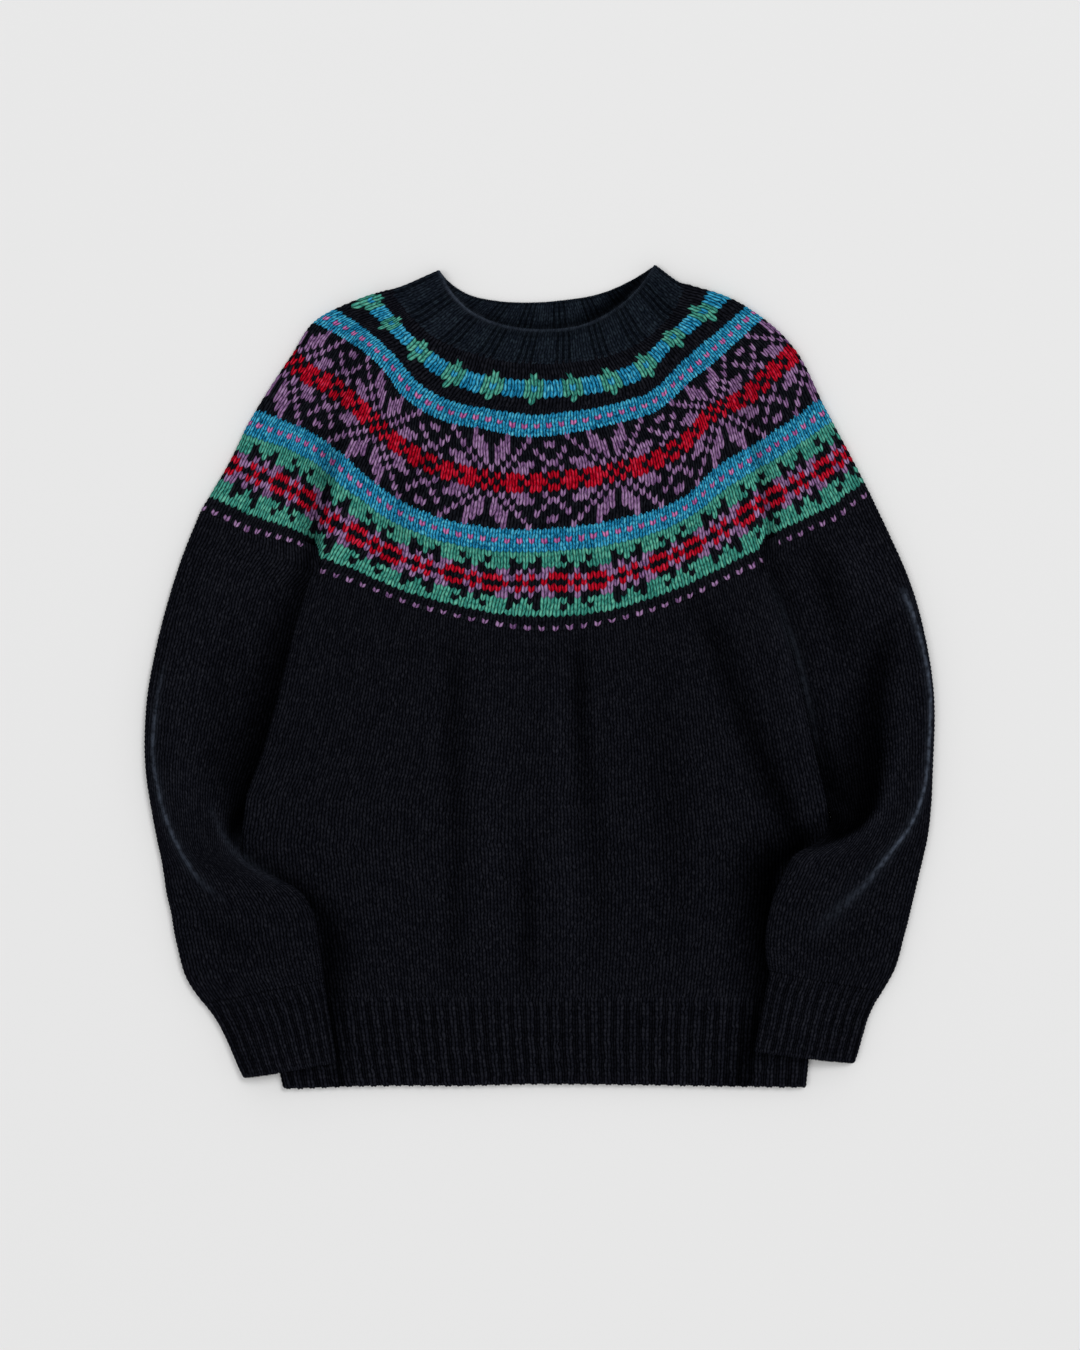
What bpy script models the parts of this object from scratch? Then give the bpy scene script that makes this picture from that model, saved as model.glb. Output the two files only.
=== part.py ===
"""Fair isle yoke jumper, laid flat: its front lies on its back, and its lower sleeves lie over its sides.

Millimetres in the tables and functions, metres in the objects. X runs across the jumper, Y from hem to neck,
and Z up from the surface that it lies on. Left is -X and right is +X. The origin is under the middle.
"""

import bmesh
import bpy
import numpy as np

# Driving dimensions, in millimetres
WALL = 3.0  # the knitted cloth
SEAM = 0.4  # between two pieces that join
BESIDE = 1.0  # between a sleeve and the side that it lies against
LAID = 8.4  # the front's face over the surface
LOWEST, HIGHEST = 6.6, 9.8  # as far as a crease lowers or raises that face
MIDDLE = 4.2  # height at which front and back meet at a folded side
ROLL = 5.0  # how far a folded side reaches in before the cloth lies flat
OVER = 10.6  # the underside of a sleeve where it lies on the body
CLIMB = (34.0, 6.0)  # a sleeve starts to climb this far from the body's side, and is up this near it
LIFT_FROM, LIFT_TO = -84.0, -112.0  # heights on Y between which the sleeves start to cross the sides
RIB_TOP, HEM = -241.0, -308.3  # the hem rib's upper and lower edges on Y
RIB_HEIGHT = 1.1
HEM_RIBS, CUFF_RIBS, NECK_RIBS = 43, 8, 12
BACK_RISE = 19.5  # how much higher the rows run at the middle of the back than at the front
CAP, RISING = 0.18, 0.32  # shares of the yoke's width: a sleeve's cap, and the stretch in which the back rises

# The body's two sides: Y, left X, right X
SIDES = np.array([
    (-308.3, -192.5, 200.0),
    (-275, -200, 203),
    (-241, -206.5, 207),
    (-200, -215, 215),
    (-160, -222, 221),
    (-126, -226, 221.5),
    (-92, -221, 217),
    (-57, -207.5, 210),
    (-12, -195, 201),
    (31, -185, 190),
    (60, -173, 181),
    (92, -160, 170.5),
])

# The last row of the yoke: where it crosses each sleeve, and its curve over the body
ROW_ON_LEFT_SLEEVE = [(-248.6, 123.4), (-173.6, 97.1)]
ROW_ON_RIGHT_SLEEVE = [(178.9, 101.6), (242.6, 136.9)]
ROW_ON_BODY = [
    (-166.1, 77.6), (-153, 75), (-130, 67), (-103, 56), (-63, 45), (-37, 39.5), (0, 35),
    (42, 38.5), (80, 48), (119, 62.5), (140, 73), (161.6, 83), (171.4, 90.4),
]

# The rows that the yoke is drawn through: share of the way down it, then X, Y along the row
YOKE_ROWS = [
    (0.000, [(-114.4, 289.5), (-101, 272.6), (-80.6, 253.9), (-50, 240.4), (-22, 234.4), (0.4, 232.9),
             (26.6, 234.4), (54.4, 239.6), (83, 253.9), (101, 272.6), (109.9, 290.6)]),
    (0.107, [(-124.5, 287), (-115.6, 266.3), (-100, 251.6), (-76, 234), (-50, 220.4), (-6.5, 214.3),
             (23, 215.2), (50.6, 218.6), (76.5, 229), (99, 250.7), (125, 273), (134.4, 283.5)]),
    (0.241, [(-156.4, 274.1), (-138.4, 256.9), (-112, 234.4), (-100, 218), (-70, 199), (-38, 192.7),
             (-12, 187.5), (12.4, 188.6), (52, 196), (86, 204.8), (105, 223), (125, 242.3), (149, 262),
             (157.9, 274.1)]),
    (0.455, [(-187.1, 239), (-169.3, 224.6), (-154.5, 217.9), (-134, 200.6), (-107.8, 176), (-80, 159),
             (-50, 149.4), (-17, 145.1), (10.7, 146.8), (54, 153), (85, 161.6), (109.4, 176), (128.5, 197),
             (151, 208.3), (173.5, 228), (196.2, 240)]),
    (0.670, [(-217.1, 191.6), (-171, 173.6), (-158, 165), (-138, 147.7), (-107, 125), (-80, 113),
             (-41, 104.4), (0, 102.6), (32.4, 105.4), (65.3, 111.4), (94.6, 120), (113, 130), (132, 146.8),
             (150, 158.9), (175, 173.6), (217.1, 200.6)]),
    (0.830, [(-233.6, 158.6), (-176, 136.4), (-167.6, 128.6), (-160.6, 117.4), (-145, 110.6), (-108.7, 91.4),
             (-62, 76.9), (-30.8, 70.6), (3.8, 71.6), (41, 72.4), (64.4, 77.6), (97, 89.6), (133.6, 108.7),
             (154.4, 121.9), (170, 133), (180.4, 138.2), (232.9, 166.1)]),
]

# The neckband's upper edge, at the front and at the back
NECK_FRONT = [(-74.6, 302.6), (-67, 289), (-51.4, 273.4), (-34, 265), (-14, 260.5), (5.6, 259.5), (29.6, 262),
              (47.6, 269.6), (62.6, 279.4), (76, 293), (86.6, 308.3)]
NECK_BACK = [(-74.6, 302.6), (-68, 294.5), (-53.6, 286), (-34, 281), (-8, 279.4), (19, 281), (45.4, 286),
             (69.4, 295.5), (86.6, 308.3)]

# The sleeves' sections from yoke to cuff, then the cuff's end: outer X, Y and inner X, Y.
# An inner X of None lies beside the body's side.
LEFT_SLEEVE = [
    (-248.6, 123.4, -173.6, 97.1),
    (-256, 118.5, -167.3, 77.3),
    (-265, 97, None, 60),
    (-275, 70, None, 31),
    (-288, 22, None, -12),
    (-296, -25, None, -57),
    (-296, -72, None, -92),
    (-290.5, -106, None, -118),
    (-287, -124, -221.5, -135),
    (-283, -143, -194, -151),
    (-280, -162, -179, -160),
    (-277, -176, -170, -173),
    (-272, -200, -164.5, -200),
    (-262, -231, -161.5, -219),
    (-251, -246, -161, -226),
]
RIGHT_SLEEVE = [
    (242.6, 136.9, 178.9, 101.6),
    (249.5, 131, 172.7, 90),
    (263, 105, None, 60),
    (277, 73, None, 31),
    (290, 26, None, -12),
    (296, -20, None, -57),
    (295, -66, None, -92),
    (293.5, -98, None, -110),
    (291, -120, 206, -124),
    (287, -138, 190, -133),
    (283, -155, 181, -149),
    (279, -172, 173.5, -167),
    (273, -196, 168.5, -195),
    (265, -222, 169.5, -213),
    (256.5, -237, 171.4, -220),
]
LEFT_CUFF_END = (-221.6, -301, -151, -288)
RIGHT_CUFF_END = (237.4, -290, 160, -280)

# Creases of the front: depth below the face (a ridge is negative), half width, then X, Y along the crease
BODY_CREASES = [
    (1.4, 13, [(-65, 30), (-66, -60), (-63, -140), (-66, -225)]),
    (1.3, 10, [(-13, -145), (-8, -240)]),
    (1.3, 11, [(29, 28), (29, -60), (33, -150)]),
    (1.0, 11, [(50, -160), (47, -210)]),
    (1.5, 12, [(-152, -140), (-151, -195), (-148, -240)]),
    (1.7, 14, [(137, 62), (155, 0), (171, -70)]),
    (1.7, 15, [(158, -140), (152, -180), (154, -225)]),
    (-1.0, 9, [(177, 40), (194, -30), (207, -90)]),
    (1.7, 8, [(-166, 90), (-162, 125), (-153, 170), (-147, 215)]),
    (1.7, 8, [(170, 95), (166, 130), (154, 177), (142, 220)]),
    (0.9, 12, [(-60, 225), (-95, 150), (-120, 80)]),
]
SLEEVE_CREASES = [
    (-1.3, 9, [(-281, 5), (-287, -70), (-272, -130), (-243, -183)]),
    (-1.3, 8, [(-249, -85), (-236, -120), (-214, -143), (-186, -166)]),
    (1.8, 10, [(-212, 0), (-222, -60), (-231, -108)]),
    (-1.3, 9, [(276, 51), (290, 0), (291, -80), (272, -125), (240, -157), (205, -190)]),
    (-1.3, 8, [(252, -112), (222, -121), (200, -138)]),
    (1.8, 12, [(232, 57), (240, -18), (243, -78), (234, -108)]),
]

# Shares of one rib of the neckband, and how far each share is raised: two thin ribs, then a broad one
NECK_RIB = [(0.0, 0), (0.11, 1), (0.22, 0), (0.33, 1), (0.44, 0), (0.52, 1), (0.92, 1)]
PLAIN_RIB = [(0.0, 0), (0.3, 1), (0.7, 1)]

# Numbers of grid faces
BODY_ROWS, YOKE_FACES, BAND_ROWS, CUFF_ROWS = 16, 12, 3, 4
BODY_SHARES = np.linspace(0, 1, 25)  # of the body's flat part, at its columns
CAP_COLUMNS = 4  # of the yoke over each sleeve
TOP_COLUMNS, UNDER_COLUMNS = 10, 8  # of a flattened tube
TURNS = (0, 35, 65)  # degrees at which a folded side is drawn

NAVY = (0.010, 0.013, 0.022)
MIDNIGHT = (0.014, 0.019, 0.032)
YOKE_BLUE = (0.030, 0.270, 0.480)
ROUGHNESS = 0.92
SHARP = np.radians(50)  # an edge that bends more than this is drawn sharp
MM = 0.001


def hermite(knots, values, at):
    """Smooth curves through values at the knots, each read at its own place."""
    values = np.asarray(values, float)
    if values.ndim == 2:
        values = np.repeat(values[:, None], len(at), axis=1)
    slope = np.gradient(values, knots, axis=0)
    i = np.clip(np.searchsorted(knots, at, side="right") - 1, 0, len(knots) - 2)
    k = np.arange(len(at))
    span = (knots[i + 1] - knots[i])[:, None]
    f = (at - knots[i])[:, None] / span
    return (
        (1 + 2 * f) * (1 - f) ** 2 * values[i, k]
        + f * (1 - f) ** 2 * span * slope[i, k]
        + f * f * (3 - 2 * f) * values[i + 1, k]
        + f * f * (f - 1) * span * slope[i + 1, k]
    )


def lengths(points):
    """Distance from the first point to each of them."""
    p = np.array(points, float)
    return np.concatenate([[0], np.cumsum(np.linalg.norm(np.diff(p, axis=0), axis=1))])


def through(points, shares):
    """Places at these shares of the way along the smooth curve through some points."""
    s = lengths(points)
    return hermite(s / s[-1], points, np.asarray(shares, float))


def smooth(x):
    x = np.clip(x, 0, 1)
    return x * x * (3 - 2 * x)


def left_side(y):
    return np.interp(y, SIDES[:, 0], SIDES[:, 1])


def right_side(y):
    return np.interp(y, SIDES[:, 0], SIDES[:, 2])


def body_row(x):
    """Y of the yoke's last row over the body."""
    row = through(ROW_ON_BODY, np.linspace(0, 1, 200))
    return np.interp(x, row[:, 0], row[:, 1])


def last_row():
    """The yoke's last row from side to side, with a point at each column of the body."""
    left, right = ROW_ON_BODY[0], ROW_ON_BODY[-1]
    x = left[0] + folded(90, BODY_SHARES, right[0] - left[0], False)
    over_left = through(ROW_ON_LEFT_SLEEVE, np.linspace(0, 1, CAP_COLUMNS + 1))
    over_right = through(ROW_ON_RIGHT_SLEEVE, np.linspace(0, 1, CAP_COLUMNS + 1))
    over_body = np.stack([x, body_row(x)], axis=1)
    return np.concatenate([over_left, [left], over_body, [right], over_right])


def row_shares():
    """The share of the way across the yoke at each point of its last row."""
    s = lengths(last_row())
    return np.clip((s - ROLL) / (s[-1] - 2 * ROLL), 0, 1)


def back_rise(share, down):
    """How much higher the back's rows run than the front's: between the sleeves, and all across at the neck."""
    return BACK_RISE * smooth((share - CAP * down) / RISING) * smooth((1 - CAP * down - share) / RISING)


def folded(turn, share, length, inside):
    """Distance across a panel whose sides fold under: turn is 90 degrees on the flat part."""
    start = np.where(inside, WALL, 0)
    reach = start + (ROLL - start) * (1 - np.cos(np.radians(turn)))
    near = np.where(share < 0.5, reach, length - reach)
    return np.where(np.abs(turn) >= 90, ROLL + share * (length - 2 * ROLL), near)


def panel_columns(shares):
    """(turn, share) of each column, from one folded side to the other."""
    left = [(turn, 0) for turn in TURNS]
    right = [(turn, 1) for turn in reversed(TURNS)]
    return np.array(left + [(90, share) for share in shares] + right, float)


def near_line(x, y, points, half_width):
    """1 on a crease's line, fading to 0 beyond its half width and lower at its two ends."""
    line = through(points, np.linspace(0, 1, 25))
    best, where = np.full(x.shape, 1e9), np.zeros(x.shape)
    for k, (a, b) in enumerate(zip(line, line[1:])):
        d = b - a
        f = np.clip(((x - a[0]) * d[0] + (y - a[1]) * d[1]) / (d @ d), 0, 1)
        far = np.hypot(x - a[0] - f * d[0], y - a[1] - f * d[1])
        where = np.where(far < best, (k + f) / (len(line) - 1), where)
        best = np.minimum(best, far)
    along = 0.35 + 0.65 * smooth(np.minimum(where, 1 - where) / 0.25)
    return smooth(1 - best / (1.6 * half_width)) * along


def face(x, y, creases):
    """Height of the upper face, with its creases."""
    z = np.full(x.shape, LAID)
    for depth, half_width, points in creases:
        z = z - depth * near_line(x, y, points, half_width)
    return np.clip(z, LOWEST, HIGHEST)


def front_height(x, y, turn, inside):
    foot = MIDDLE + SEAM / 2
    return foot + (face(x, y, BODY_CREASES) - WALL * inside - foot) * np.sin(np.radians(turn))


def back_height(turn, inside):
    foot = MIDDLE - SEAM / 2
    return foot - (foot - WALL * inside) * np.sin(np.radians(turn))


def lift(x, y):
    """Height of a sleeve's underside: on the surface, or up on the body."""
    beyond = np.maximum(left_side(y) - x, x - right_side(y))
    climb = smooth((CLIMB[0] - beyond) / (CLIMB[0] - CLIMB[1]))
    return OVER * climb * smooth((LIFT_FROM - y) / (LIFT_FROM - LIFT_TO))


def ribs(count, rib):
    """Shares across a ribbed piece, and how far each is raised, from 0 to 1."""
    shares = [((k + share) / count, raised) for k in range(count) for share, raised in rib]
    return np.array(shares + [(1, 0)], float)


def raised_at(shares_and_heights, turn, share):
    """A rib's height on the flat part of a piece."""
    shares, heights = shares_and_heights.T
    return np.where(turn >= 90, RIB_HEIGHT * np.interp(share, shares, heights), 0)


def knit(name, colour):
    made = bpy.data.materials.new(name)
    made.use_nodes = True
    shader = made.node_tree.nodes["Principled BSDF"]
    shader.inputs["Base Color"].default_value = (*colour, 1)
    shader.inputs["Roughness"].default_value = ROUGHNESS
    shader.inputs["Metallic"].default_value = 0
    return made


def wall(name, columns, rows, form, colour, tube=False):
    """A knitted wall: a grid with two faces, moved into place by form(column, row, inside)."""
    bm = bmesh.new()
    bmesh.ops.create_grid(bm, x_segments=columns, y_segments=rows, size=0.5)
    bmesh.ops.solidify(bm, geom=bm.faces[:], thickness=0.1)
    if tube:
        ends = [f for f in bm.faces if all(abs(v.co.x) > 0.4999 for v in f.verts)]
        bmesh.ops.delete(bm, geom=ends, context="FACES_ONLY")
    co = np.array([v.co for v in bm.verts])
    column = np.rint((co[:, 0] + 0.5) * columns).astype(int)
    row = np.rint((co[:, 1] + 0.5) * rows).astype(int)
    for v, place in zip(bm.verts, form(column, row, co[:, 2] < -0.05) * MM):
        v.co = place
    if tube:
        bmesh.ops.remove_doubles(bm, verts=bm.verts[:], dist=1e-6)
    if bm.calc_volume(signed=True) < 0:
        bmesh.ops.reverse_faces(bm, faces=bm.faces[:])
    mesh = bpy.data.meshes.new(name)
    bm.to_mesh(mesh)
    bm.free()
    mesh.shade_smooth()
    mesh.set_sharp_from_angle(angle=SHARP)
    mesh.materials.append(knit(name, colour))
    collection.objects.link(bpy.data.objects.new(name, mesh))


def body(name, back):
    """The front or back of the body, from the hem rib to the yoke's last row."""
    columns = panel_columns(BODY_SHARES)
    left, right = ROW_ON_BODY[0][0], ROW_ON_BODY[-1][0]

    def form(column, row, inside):
        turn, share = columns[column].T
        top_x = left + folded(turn, share, right - left, inside)
        top = body_row(top_x) - SEAM / 2
        if back:
            top = top + back_rise(np.interp(top_x, last_row()[:, 0], row_shares()), 1)
        foot = RIB_TOP + SEAM / 2
        y = foot + (top - foot) * row / BODY_ROWS
        x = left_side(y) + folded(turn, share, right_side(y) - left_side(y), inside)
        z = back_height(turn, inside) if back else front_height(x, y, turn, inside)
        return np.stack([x, y, z], axis=1)

    wall(name, len(columns) - 1, BODY_ROWS, form, NAVY)


def hem_rib(name, back):
    """The ribbed hem. The back's underside rests on the surface, so its ribs aren't raised."""
    across = ribs(HEM_RIBS, PLAIN_RIB)
    columns = panel_columns(BODY_SHARES if back else across[:, 0])

    def form(column, row, inside):
        turn, share = columns[column].T
        y = HEM + (RIB_TOP - SEAM / 2 - HEM) * row / BAND_ROWS
        x = left_side(y) + folded(turn, share, right_side(y) - left_side(y), inside)
        if back:
            z = back_height(turn, inside)
        else:
            z = front_height(x, y, turn, inside) + raised_at(across, turn, share) * ~inside
        return np.stack([x, y, z], axis=1)

    wall(name, len(columns) - 1, BAND_ROWS, form, NAVY)


def yoke_place(turn, share, down, inside, back):
    """Place on the yoke: share of the way across it, and down from the neckband to the last row."""
    rows = []
    for _, points in YOKE_ROWS:
        length = lengths(points)[-1]
        rows.append(through(points, folded(turn, share, length, inside) / length))
    last = last_row()
    s = lengths(last)
    at = folded(turn, share, s[-1], inside)
    rows.append(np.stack([np.interp(at, s, last[:, 0]), np.interp(at, s, last[:, 1])], axis=1))
    knots = np.array([part for part, _ in YOKE_ROWS] + [1.0])
    place = hermite(knots, rows, down)
    if back:
        place[:, 1] += back_rise(share, down)
    return place


def yoke(name, back):
    """The front or back of the yoke, with its half of the two sleeve caps."""
    shares = row_shares()
    inner = shares[(shares > 0) & (shares < 1)]
    columns = panel_columns(np.concatenate([[0], inner, [1]]))

    def form(column, row, inside):
        turn, share = columns[column].T
        x, y = yoke_place(turn, share, 1 - row / YOKE_FACES, inside, back).T
        y = y + np.where(row == 0, SEAM / 2, 0)
        z = back_height(turn, inside) if back else front_height(x, y, turn, inside)
        return np.stack([x, y, z], axis=1)

    wall(name, len(columns) - 1, YOKE_FACES, form, YOKE_BLUE)


def neckband(name, back):
    """The ribbed neckband. The back's ribs show on its inner side, in the neck's opening."""
    across = ribs(NECK_RIBS, NECK_RIB)
    columns = panel_columns(across[:, 0])
    edge = NECK_BACK if back else NECK_FRONT

    def form(column, row, inside):
        turn, share = columns[column].T
        foot = yoke_place(turn, share, np.zeros(len(turn)), inside, back)
        length = lengths(edge)[-1]
        top = through(edge, folded(turn, share, length, inside) / length)
        height = np.linalg.norm(top - foot, axis=1)
        up = np.maximum(row / BAND_ROWS, SEAM / height)
        x, y = (foot + (top - foot) * up[:, None]).T
        raised = raised_at(across, turn, share)
        if back:
            z = back_height(turn, inside) + raised * inside
        else:
            z = front_height(x, y, turn, inside) + raised * ~inside
        return np.stack([x, y, z], axis=1)

    wall(name, len(columns) - 1, BAND_ROWS, form, MIDNIGHT)


def tube(name, sections, top_shares, raised, colour):
    """A flattened tube through sections of outer X, Y and inner X, Y. Its underside follows what it lies on."""
    turned = [t for t in TURNS if t > 0]
    around = [(-t, 0) for t in reversed(turned)] + [(t, 0) for t in TURNS]
    around += [(90, share) for share in top_shares]
    around += [(t, 1) for t in reversed(TURNS)] + [(-t, 1) for t in turned]
    around += [(-90, share) for share in np.linspace(1, 0, UNDER_COLUMNS + 1)]
    around = np.array(around + around[:1], float)
    sections = np.array(sections, float)

    def form(column, row, inside):
        turn, share = around[column].T
        outer, inner = sections[row, :2], sections[row, 2:]
        across = inner - outer
        length = np.linalg.norm(across, axis=1)
        x, y = (outer + across * (folded(turn, share, length, inside) / length)[:, None]).T
        sine = np.sin(np.radians(turn))
        half = np.where(sine > 0, face(x, y, SLEEVE_CREASES) - LAID / 2, LAID / 2)
        z = lift(x, y) + LAID / 2 + (half - WALL * inside) * sine
        if raised is not None:
            z = z + raised_at(raised, turn, share) * ~inside
        return np.stack([x, y, z], axis=1)

    wall(name, len(around) - 1, len(sections) - 1, form, colour, tube=True)


def sleeve_sections(table, side, beside):
    """A sleeve's sections, with those beside the body read from its side."""
    sections = [(ox, oy, side(iy) + beside if ix is None else ix, iy) for ox, oy, ix, iy in table]
    top = np.array(sections[0]) - (0, SEAM, 0, SEAM)
    return [top, *sections[1:]]


def cuff_sections(last, end):
    """A cuff's sections, from just below its sleeve to its edge."""
    last, end = np.array(last, float), np.array(end, float)
    middle = (end - last)[:2] + (end - last)[2:]
    start = last + np.tile(middle / np.linalg.norm(middle) * SEAM, 2)
    return [start + (end - start) * k / CUFF_ROWS for k in range(CUFF_ROWS + 1)]


def sleeve_and_cuff(side_name, table, side, beside, cuff_end):
    sections = sleeve_sections(table, side, beside)
    across = ribs(CUFF_RIBS, PLAIN_RIB)
    tube("sleeve_" + side_name, sections, np.linspace(0, 1, TOP_COLUMNS + 1), None, NAVY)
    tube("cuff_" + side_name, cuff_sections(sections[-1], cuff_end), across[:, 0], across, NAVY)


def main():
    for side_name, back in (("back", True), ("front", False)):
        body("body_" + side_name, back)
        hem_rib("hem_rib_" + side_name, back)
        yoke("yoke_" + side_name, back)
        neckband("neckband_" + side_name, back)
    sleeve_and_cuff("left", LEFT_SLEEVE, left_side, -BESIDE, LEFT_CUFF_END)
    sleeve_and_cuff("right", RIGHT_SLEEVE, right_side, BESIDE, RIGHT_CUFF_END)


for old in list(bpy.data.objects):
    bpy.data.objects.remove(old)
collection = bpy.data.collections.new("fair_isle_jumper")
bpy.context.scene.collection.children.link(collection)
main()
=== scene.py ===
"""The knitting of a fair isle yoke jumper, laid flat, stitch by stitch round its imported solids.

Millimetres in the tables and forms, metres in the meshes. X runs across the jumper, Y from hem to neck, and Z
up from the surface that it lies on. Left is -X and right is +X.
"""

import bmesh
import bpy
import numpy as np
from bpy.props import FloatProperty, FloatVectorProperty, IntProperty, PointerProperty
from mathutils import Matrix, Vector


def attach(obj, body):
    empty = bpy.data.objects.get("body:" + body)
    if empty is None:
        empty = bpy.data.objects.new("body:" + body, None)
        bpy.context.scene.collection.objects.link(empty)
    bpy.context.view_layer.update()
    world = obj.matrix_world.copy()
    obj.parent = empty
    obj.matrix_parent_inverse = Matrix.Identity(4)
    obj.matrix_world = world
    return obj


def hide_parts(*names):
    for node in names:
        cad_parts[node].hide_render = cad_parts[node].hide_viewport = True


bl_info = {
    "name": "Fair Isle Jumper",
    "version": (1, 0, 0),
    "blender": (4, 5, 0),
    "location": "3D View > Sidebar > Jumper",
    "description": "Knits a fair isle yoke jumper, stitch by stitch, round its solids",
    "category": "Object",
}

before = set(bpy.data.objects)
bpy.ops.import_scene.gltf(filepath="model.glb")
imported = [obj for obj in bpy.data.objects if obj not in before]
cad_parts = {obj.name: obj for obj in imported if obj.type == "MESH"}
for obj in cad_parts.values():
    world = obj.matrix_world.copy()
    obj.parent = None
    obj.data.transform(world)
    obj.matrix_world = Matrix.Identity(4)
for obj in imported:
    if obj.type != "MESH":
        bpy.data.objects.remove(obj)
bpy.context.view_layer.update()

MM = 0.001

# How the solids lie, in millimetres
LAID = 8.4  # height of the upper face
MIDDLE = 4.2  # height at which front and back meet at a folded side
OVER = 10.6  # height of a sleeve's underside where it lies on the body
CLIMB_FROM, CLIMB_TO = 34.0, 6.0  # how far off the body's side a sleeve starts to climb, and is up
LIFT_FROM, LIFT_TO = -84.0, -112.0  # Y at which a sleeve starts to bend over the body, and lies on it
RIB_TOP, HEM = -241.0, -308.3  # Y of the hem rib's top and foot
TUCKED = 2.0  # how far a sleeve's inner fold lies in under the body's side
BACK_RISE = 19.5  # how much higher the back's rows run
CAP, RISING = 0.18, 0.32  # shares of the yoke's foot: on each sleeve, and over which the back's rows rise

# How the cloth bends, in millimetres
ROLL = 5.0  # how far a folded side reaches in before the cloth lies flat
BEND_OF_ROLL = 1.44  # length of the cloth in that roll, as times its reach
SLEEVE_ROLL = 9.0  # the sleeves are fuller, and turn over more softly
FULL_BY = 1 / 4  # share of a sleeve's length over which it fills
UNDER = 0.8  # how far the front's and the sleeves' tops lie lower than the yoke that they hang from
FRONT_SINKS = (0.97, 0.995)  # between which shares of the way up the front does so
SLEEVE_RISES = 1 / 12  # over which share of its length a sleeve comes up from there
TURN = 1.5  # radius of a free edge, which turns in round its wall
HANG = 0.9  # how much lower a rib's knit stitches hang than its furrow
FURROW_AT = 0.19  # where a rib's furrow lies, as a share of the rib
DIP = (1.2, 2.2)  # how far the neckband's two ends sag, most of all near the yoke
PINCH = 2.8  # how far a cuff draws in its outer side, most of all near the sleeve
CREASE_REACH = 1.6  # how much wider a crease's soft sides are than its half width
CREASE_ENDS = 1 / 5  # how deep a crease still is at its two ends, as times its depth
HAZE = (7, 3.5)  # how many times fainter, and wider, the haze round a line of painted highlight is

# Knitting, in millimetres
STITCH, ROW = 5.0, 3.35  # a stitch of the body
BODY_ROWS, SLEEVE_ROWS = 0.92, 0.95  # shares of the rows that would fit up their longest side

# The body's two sides: Y, left X, right X
SIDES = np.array([
    (-308.3, -192.5, 200.0),
    (-275, -200, 203),
    (-241, -206.5, 207),
    (-200, -215, 215),
    (-160, -222, 221),
    (-126, -226, 221.5),
    (-92, -221, 216),
    (-57, -207.5, 207.5),
    (-12, -195, 197.5),
    (31, -185, 186.5),
    (60, -176.5, 177.5),
    (92, -167, 169.5),
])

# The lower edge of the hem: X, Y
HEM_LINE = np.array([
    (-180, -309.2), (-142, -307.6), (-104, -306.9), (-60, -307.2), (-10, -305.8), (30, -305.9), (80, -306.4),
    (130, -307.3), (195, -308.3),
])

# The last row of the yoke: where it crosses each sleeve, and its curve over the body
ROW_ON_LEFT_SLEEVE = [(-253.2, 125.5), (-235, 118.1), (-220, 109.9), (-203, 105.4), (-183.4, 100.1),
                      (-170.5, 95)]
ROW_ON_RIGHT_SLEEVE = [(171.5, 97), (190.9, 103.9), (208, 112), (225, 119.6), (232.6, 126.4), (247.7, 137.5)]
ROW_ON_BODY = [
    (-170.3, 79.8), (-153, 75), (-130, 67), (-103, 56), (-63, 45), (-37, 39.5), (0, 35),
    (42, 38.5), (80, 48), (119, 62.5), (140, 73), (161.6, 83), (168.5, 86.5),
]

# The rows that the yoke is drawn through: share of the way down it, then X, Y along the row
YOKE_ROWS = [
    (0.000, [(-114.4, 289.5), (-101, 272.6), (-80.6, 253.9), (-50, 240.4), (-22, 234.4), (0.4, 232.9),
             (26.6, 234.4), (54.4, 239.6), (83, 253.9), (101, 272.6), (111.5, 293.8)]),
    (0.107, [(-131, 284.6), (-114.8, 267.2), (-100, 251.6), (-77.4, 232.2), (-50.5, 219.2), (-6.5, 214.3),
             (23, 215.2), (50.6, 218.6), (76.5, 229), (98.2, 251.5), (125, 273), (138, 285.8)]),
    (0.241, [(-163, 270.2), (-138.4, 256.9), (-112, 234.4), (-100, 218), (-70, 199), (-38, 192.7),
             (-12, 187.5), (12.4, 188.6), (52, 196), (85.4, 206), (105, 223), (125.8, 241.4), (149, 262),
             (161, 273.2)]),
    (0.455, [(-186.6, 239.6), (-169.3, 224.6), (-154.5, 217.9), (-134, 200.6), (-107.8, 176), (-80, 159),
             (-50, 149.4), (-17, 145.1), (10.7, 146.8), (54, 153), (85, 161.6), (109.4, 176), (128.5, 197),
             (151, 208.3), (173.5, 228), (191.9, 244.6)]),
    (0.670, [(-217.1, 191.6), (-171, 173.6), (-158, 165), (-138, 147.7), (-107, 125), (-80, 113),
             (-41, 104.4), (0, 102.6), (32.4, 105.4), (65.3, 111.4), (94.6, 120), (113, 130), (132, 146.8),
             (150, 158.9), (175, 173.6), (214.5, 200.6)]),
    (0.830, [(-232.6, 160.4), (-176.6, 135.6), (-167.6, 128.6), (-159.4, 119), (-144.6, 111.5),
             (-108.7, 91.4), (-62, 76.9), (-30.8, 70.6), (3.8, 71.6), (41, 72.4), (64.4, 77.6), (97, 89.6),
             (133.6, 108.7), (154.4, 121.9), (170, 133), (180.4, 138.2), (231.5, 168.7)]),
]

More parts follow.
